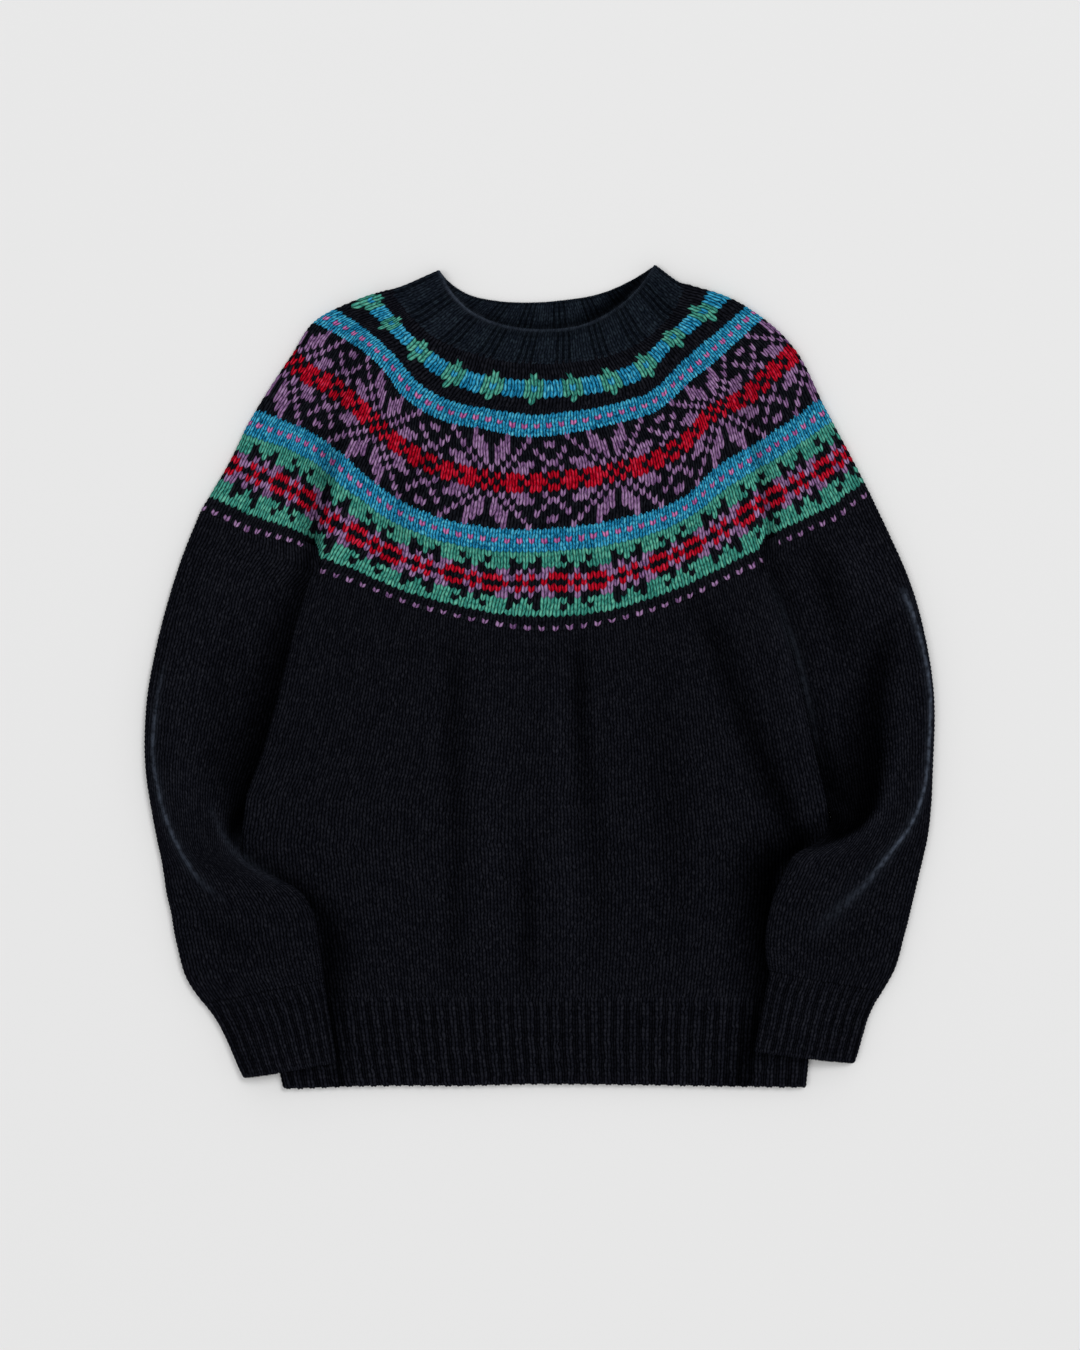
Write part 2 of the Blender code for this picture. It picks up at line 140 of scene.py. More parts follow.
# The neckband's upper edge, at the front and at the back
NECK_FRONT = [(-74.6, 304.4), (-67, 289.6), (-51.4, 273.4), (-34, 265), (-14, 260.5), (5.6, 259.5),
              (29.6, 262), (47.6, 269.6), (62.6, 279.4), (76, 293), (86.6, 308.3)]
NECK_BACK = [(-74.6, 304.9), (-68, 297), (-53.6, 287), (-34, 282), (-8, 280.4), (19, 282.3), (45.4, 287.2),
             (69.4, 297.8), (86.6, 308.3)]

# The sleeves' sections from yoke to cuff, then the cuff's end: outer X, Y and inner X, Y.
# An inner X of None lies beside the body's side.
LEFT_SLEEVE = [
    (-253.2, 125.5, -164, 93),
    (-256.3, 118.5, -162.5, 77.3),
    (-265, 97, None, 60),
    (-274.4, 70, None, 31),
    (-287.2, 22, None, -12),
    (-295, -25, None, -57),
    (-295, -72, None, -92),
    (-289.7, -106, None, -118),
    (-286.2, -124, -221.5, -135),
    (-282.3, -143, -194, -151),
    (-279.6, -162, -179, -160),
    (-276.4, -176, -170, -173),
    (-272, -200, -164.5, -200),
    (-262, -231, -161.5, -219),
    (-251, -246, -161, -226),
]
RIGHT_SLEEVE = [
    (247.7, 137.5, 166, 96),
    (250.7, 131, 166.5, 84),
    (263, 105, None, 60),
    (277, 73, None, 31),
    (290, 26, None, -12),
    (296, -20, None, -57),
    (295, -66, None, -92),
    (293.5, -98, None, -110),
    (291, -120, 206, -124),
    (287, -138, 190, -133),
    (283, -155, 181, -149),
    (279, -172, 173.5, -167),
    (273, -196, 168.5, -195),
    (265, -222, 169.5, -213),
    (256.5, -237, 171.4, -220),
]
LEFT_CUFF_END = (-221.6, -301, -151, -288)
RIGHT_CUFF_END = (236, -290, 160, -280)

# The crest that each sleeve is pressed to, from shoulder to forearm
LEFT_CREST = [(-279.8, 12.4), (-284.6, -10), (-288.4, -34.9), (-289, -53.6), (-286.9, -78.4), (-280.9, -99.4),
              (-273.4, -119.6), (-263.6, -138), (-253.9, -151.9), (-232, -170)]
RIGHT_CREST = [(276.4, 52.9), (286.9, 21.4), (292, -7.1), (291.4, -49.9), (286.9, -85.9), (276.4, -112.1),
               (260.6, -133.1), (236.6, -163.9), (205, -190)]

# Creases of the front: depth below the face as in the solids (a ridge is negative), half width to the left
# and to the right of the crease's direction, then X, Y along it
BODY_CREASES = [
    (1.5, 14, 14, [(-65, 30), (-66, -60), (-63, -140), (-66, -225)]),
    (1.3, 10, 10, [(-13, -130), (-10, -190), (-8, -245)]),
    (1.5, 12, 12, [(28, 40), (29, -30), (31, -90), (34, -160)]),
    (1.0, 11, 11, [(50, -130), (49, -180), (47, -225)]),
    (1.5, 12, 12, [(-152, -130), (-151, -195), (-148, -245)]),
    (1.9, 15, 15, [(128, 66), (141, 20), (157, -20), (174, -68), (190, -112)]),
    (2.2, 12, 16, [(160, -112), (152, -180), (152, -240)]),
    (-1.1, 9, 9, [(163, 88), (179, 40), (194, -12), (203, -57), (209, -100)]),
    (1.9, 14, 4, [(-168.5, 82), (-166, 105), (-161.5, 131), (-153.5, 167), (-151.5, 195), (-137, 239),
                  (-136, 270)]),
    (1.9, 4, 12, [(172, 84), (166, 108), (163, 148), (154, 177), (146, 215), (139, 240)]),
    (2.2, 4, 3, [(-175, 116), (-171, 100), (-169, 88), (-166, 70)]),
    (2.0, 3, 4, [(178, 116), (172.5, 98), (170.5, 88), (168, 72)]),
    (0.9, 12, 12, [(-60, 225), (-95, 150), (-120, 80)]),
]
SLEEVE_CREASES = [
    (-1.4, 20, 8, LEFT_CREST),
    (-1.4, 9, 9, [(-249, -85), (-238, -114), (-222, -136), (-204, -150), (-182, -162)]),
    (2.9, 22, 26, [(-172, 82), (-184, 50), (-195, 10), (-209, -45), (-221, -88), (-229, -116)]),
    (-1.4, 8, 20, RIGHT_CREST),
    (-1.4, 9, 9, [(270, 12), (271, -36), (262, -75), (248, -106), (219, -124), (192, -135)]),
    (2.8, 16, 22, [(238, 66), (250, 32), (254, -5), (252, -40), (246, -76), (236, -106)]),
]
# Where the folds keep the light off the front, or catch it (negative): X and Y along each line, the share of
# the light that goes there, and how far that reaches: to both sides, or to the left and right of the line
BODY_SHADES = [
    [(-62, 40, 0, 14), (-63, 0, .34, 15, 14), (-64, -60, .38, 15, 14), (-62, -130, .32, 14, 13),
     (-64, -200, .3, 12), (-65, -245, 0, 12)],
    [(28, 36, 0, 12), (30, 5, .48, 13, 12), (32, -50, .46, 13, 12), (40, -110, .28, 17),
     (48, -165, .22, 17), (48, -225, 0, 13)],
    [(-10, -110, 0, 11), (-9, -150, .36, 12), (-9, -215, .38, 12), (-8, -250, 0, 10)],
    [(18, 34, 0, 9), (14, -10, -.16, 11), (18, -100, -.18, 11), (22, -200, -.12, 12), (22, -240, 0, 9)],
    [(-38, 30, 0, 9), (-36, -40, -.12, 14), (-36, -170, -.12, 14), (-38, -230, 0, 9)],
    [(90, 30, 0, 20), (94, -50, .24, 26), (102, -160, .2, 24), (104, -240, 0, 20)],
    # Beside the right sleeve: painted shade in a trough, then a painted highlight on the roll of the body's
    # side
    [(112, 66, 0, 18, 16), (128, 38, .42, 20, 18), (145, -8, .5, 20, 18), (166, -58, .62, 19, 20),
     (184, -98, .7, 16, 22), (196, -124, .6, 12, 18)],
    [(159, 96, 0, 9, 12), (169.5, 60, -.22, 10, 13), (180.5, 27, -.26, 11, 14), (194, -30, -.22, 10, 13),
     (203, -70, -.1, 9, 12), (209, -104, 0, 8, 10)],
    # The shadows that the two forearms cast on the body
    [(214, -110, .4, 14, 12), (196, -126, .8, 12, 26), (177, -143, .92, 12, 44), (171, -178, .92, 12, 42),
     (170, -214, .84, 12, 34), (168, -240, .78, 12, 26), (159, -270, .76, 12, 20), (151, -312, .6, 12, 16)],
    [(-226, -126, .3, 8), (-198, -146, .45, 12, 9), (-172, -166, .6, 20, 9), (-160, -192, .72, 28, 9),
     (-158, -232, .72, 26, 9), (-154, -262, .55, 14, 9), (-148, -312, .5, 12, 9)],
    # The armholes, and the folds that run up the yoke from them
    [(-173, 112, 0, 4), (-170.5, 98, .8, 5), (-168, 84, .85, 6, 5), (-164, 72, 0, 5, 4)],
    [(-168, 86, .4, 14, 6), (-166, 105, .55, 22, 7), (-161.5, 131, .48, 24, 7), (-153.5, 167, .4, 22, 7),
     (-151.5, 195, .26, 18, 7), (-140, 235, .2, 16, 7), (-134, 268, 0, 12, 6)],
    [(176, 114, 0, 4), (172, 100, .8, 5), (170, 88, .85, 5, 6), (166, 76, 0, 4, 5)],
    [(175, 92, .34, 3, 10), (171.5, 108, .44, 3, 12), (168, 130, .44, 3, 13), (165, 148, .4, 3, 13),
     (158, 177, .34, 4, 13), (149, 215, .22, 5, 13), (139, 250, 0, 6, 12)],
    [(169, 92, 0, 5, 3), (166.5, 108, -.3, 6, 3), (163, 130, -.34, 7, 3), (159.5, 148, -.3, 7, 3),
     (152.5, 177, -.2, 7, 4), (144, 206, 0, 6, 5)],
    [(-56, 228, 0, 14), (-84, 170, .14, 17), (-108, 110, .14, 17), (-122, 72, 0, 14)],
    [(78, 300, 0, 10), (92, 286, .22, 14), (98, 268, .2, 14), (92, 250, 0, 10)],
    # Under the neckband's cast-off edge
    [(86, 304, 0, 3), (75, 289, .4, 3), (61, 275.5, .4, 3), (46, 265.5, .4, 3), (29, 258, .4, 3),
     (5, 255.5, .4, 3), (-15, 256.5, .4, 3), (-36, 261.5, .4, 3), (-54, 270.5, .4, 3), (-70, 286, .4, 3),
     (-76, 299, 0, 3)],
]
# The inside of the neckband's back, behind the front edge
NECK_SHADES = [
    [(92, 312, .3, 9), (74, 294, .85, 14), (60, 281, .9, 16), (46, 271, .85, 16, 14), (28, 263, .7, 13, 11),
     (5, 260, .6, 11, 9), (-16, 261, .55, 11, 9), (-36, 266, .55, 11, 9), (-54, 275, .5, 11, 8),
     (-70, 291, .4, 9, 6), (-77, 304, .2, 6, 5)],
]
SLEEVE_SHADES = [
    # Both shoulders catch the light
    [(-206, 108, -.08, 40), (-236, 60, -.16, 46, 40), (-262, 0, -.14, 40, 30), (-268, -50, -.16, 26, 20),
     (-267, -85, -.22, 20, 16), (-252, -118, 0, 12)],
    [(226, 112, -.1, 30, 26), (240, 84, -.24, 34, 30), (258, 62, -.2, 26), (274, 46, 0, 20)],
    [(204, 106, 0, 12), (210, 88, .34, 18, 16), (220, 54, .42, 20, 17), (229, 22, .2, 18, 16),
     (234, 0, 0, 12)],
    # The left sleeve's hollow, darkest right beside the body
    [(-168, 98, .4, 10), (-174, 78, .54, 10, 18), (-179, 50, .62, 10, 28), (-187, 26, .74, 10, 32),
     (-197, -12, .8, 10, 36), (-207, -50, .84, 10, 39), (-216, -84, .89, 10, 37), (-223, -110, .9, 9, 18),
     (-225, -124, .5, 6, 8)],
    [(-226, -96, 0, 5), (-228, -108, .7, 7, 9), (-230, -119, .8, 6, 7), (-233, -128, 0, 4)],
    [(-222, 60, 0, 14, 20), (-232, 20, .16, 20, 24), (-240, -30, .2, 20, 22), (-243, -70, .2, 16, 18),
     (-244, -100, 0, 10, 12)],
    # Its fold over the body, and its forearm
    [(-248, -88, 0, 8), (-238, -114, -.16, 8, 9), (-222, -137, -.26, 9), (-200, -152, -.2, 10, 9),
     (-180, -164, 0, 8)],
    [(-262, -176, 0, 14), (-238, -192, .16, 20), (-212, -206, .16, 18), (-186, -214, 0, 12)],
    # The right sleeve beside the body, and its hollow above the forearm
    [(170, 100, .3, 8), (176, 80, .36, 13, 10), (188, 40, .36, 15, 10), (200, -8, .36, 16, 10),
     (209, -52, .5, 20, 10), (216, -90, .7, 22, 10), (219, -116, .6, 10)],
    [(262, 46, 0, 10), (257, 22, .5, 16, 18), (253, -12, .72, 15, 32), (253, -44, .8, 14, 46),
     (252, -74, .86, 11, 60), (248, -98, .89, 8, 64), (239, -111, .9, 6, 48), (224, -119, .86, 5, 24),
     (206, -126, .4, 4, 12), (194, -132, 0, 4, 6)],
    [(272, 20, 0, 8), (272, -36, -.14, 9), (264, -76, -.22, 9, 8), (250, -110, -.3, 10, 7),
     (222, -127, -.28, 10, 7), (196, -140, -.2, 9, 7), (184, -156, 0, 8, 6)],
    [(262, -176, 0, 14), (240, -192, .1, 18), (214, -200, .1, 16), (196, -206, 0, 12)],
    # A painted highlight on the roll along each cuff
    [(-206, -222, 0, 30), (-196, -258, -.06, 34), (-186, -296, 0, 30)],
    [(214, -216, 0, 34), (206, -250, -.14, 38), (198, -288, 0, 30)],
]
# Lines of painted highlight, where the pale fuzz on crests and edges catches the light: X and Y along each,
# its strength, and its reach to both sides
PAINTED_HIGHLIGHT_LINES = [
    [(-279.8, 12.4, 0, 2), (-286, -20, .4, 2), (-289, -53.6, .65, 2), (-283, -92, .7, 2),
     (-273.4, -119.6, .65, 2), (-263.6, -138, .45, 2.5), (-253.9, -151.9, .22, 3), (-232, -170, 0, 6)],
    [(270, 68, 0, 5), (275.5, 56, .7, 3), (286.9, 21.4, .8, 2.2), (292, -7.1, 1, 2), (291.4, -49.9, 1, 2),
     (286.9, -85.9, .9, 2), (276.4, -112.1, .9, 2), (260.6, -133.1, .75, 2.4), (246, -152, .32, 4),
     (224, -172, .15, 7), (200, -194, 0, 7)],
    [(171, 76, 0, 3), (184, 40, .14, 4), (199, -12, .14, 4), (209, -60, 0, 3)],
    [(-248, -92, 0, 3), (-236, -118, .14, 4), (-212, -143, .14, 4), (-188, -156, 0, 3)],
    [(-75, 304, .5, 2), (-68, 290, .6, 2), (-54, 275, .6, 2), (-36, 265, .3, 2), (5, 259, .22, 2),
     (48, 269, .22, 2), (74, 291, .2, 2), (87, 309, .1, 2)],
]

# The bands of the yoke, from the neck down, as charts. One letter is one stitch, and a chart repeats across
FLOWERS = ["gnnnnn", "ggbbbg", "bgbbbg", "ggbbbg", "gnnnnn"]
DOTS = ["b", "b", "pb", "b", "b"]
# Half a star, from its middle stitch outwards, and its rows from the edge to the red middle row
HALF_STAR = [
    "nnnlnnnlnnn",
    "nnllnnlnnnl",
    "nlllnlnnlnn",
    "nllnlnnnnln",
    "nlnlnlllnnl",
    "lnlnlllnnln",
    "nrnrrrnrrnr",
    "rnrrrnrrrrn",
]
# Half of the curls and towers, from the curls' middle stitch outwards, and rows from the edge to the middle
HALF_TOWERS = [
    "ggggggggg",
    "ggngggngg",
    "gnggggnng",
    "lnnnllnln",
    "rlrrrllrl",
    "nrnnnrnnr",
]
CHARTED = {"n": "navy", "b": "blue", "p": "pink", "g": "green", "l": "lilac", "r": "red"}


def both_ways(half, odd):
    """A chart mirrored from its middle stitch and row. An odd one has its last stitch twice."""
    rows = [row + (row[:0:-1] if odd else row[-2:0:-1]) for row in half]
    return rows + rows[-2::-1]


STARS = both_ways(HALF_STAR, True)
TOWERS = both_ways(HALF_TOWERS, False)

# How wide the front's stitches lie from side to side, as share across it and width. The folds beside the
# sleeves take some of them in, and so does the shoulder near the neck
AT_FOLDS = [
    (0, 1), (0.03, 1), (0.06, 0.82), (0.14, 0.82), (0.18, 1.06), (0.6, 1.06), (0.66, 1.01), (0.8, 1.01),
    (0.84, 0.9), (0.94, 0.9), (0.97, 1), (1, 1),
]
AT_NECK = [
    (0, 1), (0.05, 1), (0.07, 0.65), (0.14, 0.65), (0.16, 1.2), (0.24, 1.2), (0.26, 1), (0.33, 1),
    (0.35, 1.1), (0.42, 1.1), (0.45, 1), (1, 1),
]
# The strips that the yoke is knitted in, each with fewer stitches than the one below it: stitches across one
# half, their widths, then bands of rows: chart, repeat's first stitch, share of the way down at its end
YOKE_STRIPS = [
    (66, AT_NECK, [(["n", "n"], 0, 0.0465), (FLOWERS, 1, 0.1665), (["n"], 0, 0.186)]),
    (88, AT_FOLDS, [(["n"], 0, 0.205), (DOTS, 1, 0.289)]),
    (105, AT_FOLDS, [(STARS, 1, 0.64)]),
    (112, AT_FOLDS, [(DOTS, 0, 0.722), (TOWERS, 13, 0.96), (["n", "n"], 0, 0.993), (["ln"], 0, 1.008)]),
]

# The ribs. Hem and cuffs: widths of a furrow and of the knit stitches beside it, and rows
RIB_WIDTHS = np.array([0.76, 1.24])
HEM_ROWS, CUFF_ROWS = 20, 18
TURNED_ROWS = 3
# One broad rib of the neckband, in stitches: width in millimetres, and whether it is a furrow
NECK_RIB = [(1.3, 1), (2.7, 0), (1.3, 1), (3.8, 0), (3.8, 0), (3.8, 0), (3.8, 0), (1.3, 1), (2.7, 0)]
NECK_ROWS = 9
# The neckband's front and back: height, and rows turned in. The inside of its back shows
NECK_EDGES = ((40.0, 2), (28.0, 11))
CAST_OFF = 1.9  # radius of the cast-off edge

# The yarns: colour, the pale and the deep fibres spun into it, the share of light left between two legs of a
# stitch, and what is knitted in it
LAMBSWOOLS = {
    "navy": ("13141A", "1D1E24", "0A0B10", 0.05, "Body, sleeves and grounds"),
    "midnight": ("171C24", "222B33", "0B1018", 0.35, "The neckband, a little bluer"),
    "blue": ("2488B3", "58B6CA", "033656", 0.05, "The two dotted bands"),
    "pink": ("B0649C", "D080B0", "7C3070", 0.05, "Dots of the blue bands"),
    "green": ("429282", "64AE96", "185A52", 0.05, "Flowers and lowest band"),
    "lilac": ("87648E", "A082A8", "4C3258", 0.05, "Stars and single stitches"),
    "red": ("AF0A1F", "C82C48", "6C0418", 0.05, "Middles of the stars and curls"),
}
PAINTED_HIGHLIGHT_COLOUR = "4A5260"  # painted highlight colour: the pale nap on crests, where it catches the light
FIBRE_WIDE, FIBRE_LONG = 0.9, 2.5  # fibres of one shade lie together so far across and along the yarn
LEG_TO_LEG = 0.24  # how much paler a whole leg can be than the next, on the scale of its streaks
OWN_FIBRES, PALE_FIBRES = (0.4, 0.62), (0.64, 0.84)  # where on that scale they come in, and are all
LEG_EDGE, LEG_TOP = 0.17, 1.15  # how far in from its edge a leg is fully lit, in stitches, and how brightly
ROW_EDGE, ROW_GROOVE = 0.3, 0.6  # the same for a row, in rows, and the share of light on its edge
TUFTS, GRAIN = 4.0, 0.8  # the nap's tufts, and its fuzzy grain, drawn as coarse as it needs to show
THICKENS = (0.35, 0.62, 0.2, 0.85)  # where on the tufts' scale the nap, and so its painted highlight, thickens, and from and to which share

# The stage, in metres
PAPER = "E4E4E4"
PAPER_DROP = 0.0003  # how far the floor lies lower than the cloth on it
ROOM_LIGHT = 0.5
# Softboxes: place, width and watts
SOFTBOXES = {"key softbox": ((3.2, 2.6, 8.8), 3.2, 365.0), "fill softbox": ((-3.5, -0.9, 8.8), 4.8, 208.0)}
CAMERA_AT = (0.0004, 0.0011, 3.0)
LENS, SENSOR = 106.67, 36  # millimetres


def linear(code):
    """A linear colour from an sRGB hex code."""
    srgb = np.array([int(code[k:k + 2], 16) for k in (0, 2, 4)]) / 255
    return tuple(np.where(srgb <= 0.04045, srgb / 12.92, ((srgb + 0.055) / 1.055) ** 2.4))


class YarnColours(bpy.types.PropertyGroup):
    """The jumper's yarns, as each looks in daylight."""

    __annotations__ = {
        name: FloatVectorProperty(
            name=name.capitalize(), description=use, subtype="COLOR", size=3, default=linear(colour))
        for name, (colour, _, _, _, use) in LAMBSWOOLS.items()
    }


class KnitSizes(bpy.types.PropertyGroup):
    """How the jumper is knitted and how it lies."""

    stitch: FloatProperty(
        name="Stitch", description="Width of a stitch of the body", default=STITCH * MM, unit="LENGTH")
    row: FloatProperty(
        name="Row", description="Height of a row of the body", default=ROW * MM, unit="LENGTH")
    yarn_relief: FloatProperty(
        name="Yarn relief", description="How far a stitch stands out of the cloth", default=0.0011,
        unit="LENGTH")
    rib_relief: FloatProperty(
        name="Rib relief", description="How far a rib stands over its furrow", default=0.0014, unit="LENGTH")
    uneven: FloatProperty(
        name="Unevenness", description="How far stitches stray from their places, in stitches", default=0.07)
    hollow_shade: FloatProperty(
        name="Shade in hollows", description="How strongly the folds shade the cloth", default=1.0,
        subtype="FACTOR")
    loft: FloatProperty(
        name="Loft", description="How far the soft cloth stands over its solid", default=0.0012,
        unit="LENGTH")
    puff: FloatProperty(
        name="Puff", description="How much higher the sleeves stand than the body", default=0.002,
        unit="LENGTH")
    crease: FloatProperty(
        name="Creases", description="Depth of the creases, as times their depth in the solids",
        default=2.0)
    hem_ribs: IntProperty(name="Hem ribs", description="Ribs across one half of the hem", default=43)
    cuff_ribs: IntProperty(name="Cuff ribs", description="Ribs round one half of a cuff", default=11)
    neck_ribs: IntProperty(
        name="Neck ribs", description="Broad ribs across one half of the neckband", default=9)


def hermite(knots, values, at):
    """Smooth curves through values at the knots, each read at its own place."""
    values = np.asarray(values, float)
    if values.ndim == 2:
        values = np.repeat(values[:, None], len(at), axis=1)
    slope = np.gradient(values, knots, axis=0)
    i = np.clip(np.searchsorted(knots, at, side="right") - 1, 0, len(knots) - 2)
    k = np.arange(len(at))
    span = (knots[i + 1] - knots[i])[:, None]
    f = (at - knots[i])[:, None] / span
    return (
        (1 + 2 * f) * (1 - f) ** 2 * values[i, k]
        + f * (1 - f) ** 2 * span * slope[i, k]
        + f * f * (3 - 2 * f) * values[i + 1, k]
        + f * f * (f - 1) * span * slope[i + 1, k]
    )


def lengths(points):
    """Distance from the first point to each of them."""
    p = np.array(points, float)
    return np.concatenate([[0], np.cumsum(np.linalg.norm(np.diff(p, axis=0), axis=1))])


def through(points, shares):
    """Places at these shares of the way along the smooth curve through some points."""
    s = lengths(points)
    return hermite(s / s[-1], points, np.asarray(shares, float))


def smooth(x):
    x = np.clip(x, 0, 1)
    return x * x * (3 - 2 * x)


def bulge(t):
    """0 at both ends and 1 a third of the way along."""
    return 6.75 * t * (1 - t) ** 2


def left_side(y):
    return np.interp(y, SIDES[:, 0], SIDES[:, 1])


def right_side(y):
    return np.interp(y, SIDES[:, 0], SIDES[:, 2])


def across(share, width, roll=ROLL):
    """Distance at a share of the cloth across a folded panel, and how far it has turned to lie flat."""
    bend = roll * BEND_OF_ROLL
    cloth = width - 2 * roll + 2 * bend
    near = np.minimum(share, 1 - share) * cloth
    turn = np.clip(near / bend, -1, 1) * np.pi / 2
    reach = roll * (1 - np.cos(turn)) + np.maximum(near - bend, 0)
    return np.where(share < 0.5, reach, width - reach), np.sin(turn)


LAST_ROW = np.concatenate([
    through(row, np.linspace(0, 1, 60)) for row in (ROW_ON_LEFT_SLEEVE, ROW_ON_BODY, ROW_ON_RIGHT_SLEEVE)
])
LAST_LENGTHS = lengths(LAST_ROW)


def back_rise(share, down):
    """How much higher the back's rows run: between the sleeves, and all across at the neck."""
    return BACK_RISE * smooth((share - CAP * down) / RISING) * smooth((1 - CAP * down - share) / RISING)


def beside(x, y, line):
    """A line's strength at each place: its own on the line, and 0 where its reach to either side ends."""
    line = np.array([(*point, point[-1])[:5] for point in line], float)
    s = lengths(line[:, :2])
    line = hermite(s / s[-1], line, np.linspace(0, 1, 41))
    nearest, strength = np.full(x.shape, 1e9), np.zeros(x.shape)
    for a, b in zip(line, line[1:]):
        d = b - a
        f = np.clip(((x - a[0]) * d[0] + (y - a[1]) * d[1]) / (d[:2] @ d[:2]), 0, 1)
        far = np.hypot(x - a[0] - f * d[0], y - a[1] - f * d[1])
        to_left = d[0] * (y - a[1]) > d[1] * (x - a[0])
        reach = np.where(to_left, a[3] + f * d[3], a[4] + f * d[4])
        strength = np.where(far < nearest, (a[2] + f * d[2]) * smooth(1 - far / reach), strength)
        nearest = np.minimum(nearest, far)
    return strength


def between(grid, column, row):
    """A grid's values, read smoothly between its points."""
    column = np.clip(column, 0, grid.shape[1] - 1.001)
    row = np.clip(row, 0, grid.shape[0] - 1.001)
    i, j = column.astype(int), row.astype(int)
    f, g = column - i, row - j
    low = grid[j, i] * (1 - f) + grid[j, i + 1] * f
    high = grid[j + 1, i] * (1 - f) + grid[j + 1, i + 1] * f
    return low * (1 - g) + high * g


def read_from(values_at, step=2.0, low=-330.0, count=331):
    """The same values all over the jumper, worked out every 2 mm and read in between."""
    x, y = np.meshgrid(low + step * np.arange(count), low + step * np.arange(count))
    grid = values_at(x, y)
    return lambda x, y: between(grid, (x - low) / step, (y - low) / step)


def creased(creases):
    """How far the creases lower the cloth. Each runs out towards its two ends."""
    lines = []
    for depth, left, right, points in creases:
        depths = [CREASE_ENDS * depth] + [depth] * (len(points) - 2) + [CREASE_ENDS * depth]
        lines.append([
            (x, y, at, CREASE_REACH * left, CREASE_REACH * right) for (x, y), at in zip(points, depths)])
    return read_from(lambda x, y: sum(beside(x, y, line) for line in lines))


def shaded(lines):
    """The share of the light that the folds take away."""
    return read_from(lambda x, y: 1 - np.prod([1 - beside(x, y, line) for line in lines], axis=0))


body_fall, sleeve_fall = creased(BODY_CREASES), creased(SLEEVE_CREASES)
BODY_LOOKS, NECK_LOOKS, SLEEVE_LOOKS = (shaded(lines) for lines in (BODY_SHADES, NECK_SHADES, SLEEVE_SHADES))


def painted_highlight_at(x, y):
    """How strongly the pale fuzz on crests and edges catches the light, as a painted highlight: a narrow
    line, in a wide faint haze.
    """
    fainter, wider = HAZE
    haze = [[(*place, strength / fainter, wider * reach) for *place, strength, reach in line]
            for line in PAINTED_HIGHLIGHT_LINES]
    return np.clip(sum(beside(x, y, line) for line in PAINTED_HIGHLIGHT_LINES + haze), 0, 1)


def sizes():
    return bpy.context.scene.jumper_sizes


def face(x, y, fall):
    """Height of the upper face: the solid's own face with the cloth's loft, and its creases at full depth."""
    own = sizes()
    return LAID + own.loft / MM - own.crease * fall(x, y)


def laid(x, y, turned_up, back, sunk=0.0):
    """Places of a panel whose cloth has turned this far to lie flat. The front's may lie sunk."""
    flat = 0 if back else face(x, y, body_fall) - sunk
    return np.stack([x, y, MIDDLE + (flat - MIDDLE) * turned_up], axis=-1)


def between_sides(share, y):
    """X at a share of the cloth across the body, and how far it has turned to lie flat."""
    reach, turned_up = across(share, right_side(y) - left_side(y))
    return left_side(y) + reach, turned_up


def body_form(back):
    """The front or back of the body: share across it, and up from the hem rib to the yoke."""
    left, right = ROW_ON_BODY[0][0], ROW_ON_BODY[-1][0]

    def form(share, up):
        top_x = left + across(share, right - left)[0]
        top = np.interp(top_x, LAST_ROW[:, 0], LAST_ROW[:, 1])
        if back:
            yoke_share = np.interp(top_x, LAST_ROW[:, 0], LAST_LENGTHS) / LAST_LENGTHS[-1]
            top = top + back_rise(yoke_share, 1)
        y = RIB_TOP + (top - RIB_TOP) * up
        x, turned_up = between_sides(share, y)
        start, end = FRONT_SINKS
        return laid(x, y, turned_up, back, UNDER * smooth((up - start) / (end - start)))

    return form


def hem_form(back):
    """The front or back of the hem rib: share across it, and up from its edge to the body."""

    def form(share, up):
        low = np.interp(between_sides(share, HEM)[0], HEM_LINE[:, 0], HEM_LINE[:, 1])
        y = low + (RIB_TOP - low) * up
        x, turned_up = between_sides(share, y)
        return laid(x, y, turned_up, back)

    return form


def yoke_form(back):
    """The front or back of the yoke: share across it, and up from its last row to the neckband."""
    knots = np.array([part for part, _ in YOKE_ROWS] + [1.0])

    def form(share, up):
        rows = []
        for _, points in YOKE_ROWS:
            length = lengths(points)[-1]
            reach, turned_up = across(share, length)
            rows.append(through(points, np.clip(reach / length, 0, 1)))
        at = across(share, LAST_LENGTHS[-1])[0]
        rows.append(np.stack([np.interp(at, LAST_LENGTHS, LAST_ROW[:, k]) for k in (0, 1)], axis=1))
        x, y = hermite(knots, rows, 1 - up).T
        if back:
            y = y + back_rise(share, 1 - up)
        return laid(x, y, turned_up, back)

    return form


def neckband_form(back):
    """The front or back of the neckband: share across it, and up from the yoke to its edge."""
    edge = NECK_BACK if back else NECK_FRONT
    yoke = yoke_form(back)

    def form(share, up):
        foot = yoke(share, np.ones(share.shape))
        length = lengths(edge)[-1]
        reach, turned_up = across(share, length)
        top = through(edge, np.clip(reach / length, 0, 1))
        x, y = (foot[:, :2] + (top - foot[:, :2]) * up[:, None]).T
        y = y - bulge(up) * (DIP[0] + (DIP[1] - DIP[0]) * share)
        return laid(x, y, turned_up, back)

    return form


def turned(form, length, at, ribs=0):
    """The same form, with its edge at this up turned in round the wall and back inside. Its length is in mm.

    The turn stays within the form's outline. Each rib's knit stitches hang a little lower than its furrow.
    """
    onward = 1 if at else -1

    def turned_form(share, up):
        furrow = 0.5 + 0.5 * np.cos(2 * np.pi * (ribs * share - FURROW_AT))
        inset = (TURN + HANG * furrow * (ribs > 0)) / length
        held = np.minimum(up, 1 - inset) if at else np.maximum(up, inset)
        beyond = np.abs(up - held) * length
        place, out, rise, _ = surface(form, share, held)
        angle = np.minimum(beyond / TURN, np.pi)
        reach = TURN * np.sin(angle) - np.maximum(beyond - np.pi * TURN, 0)
        return place + onward * rise * reach[:, None] - out * (TURN * (1 - np.cos(angle)))[:, None]

    return turned_form


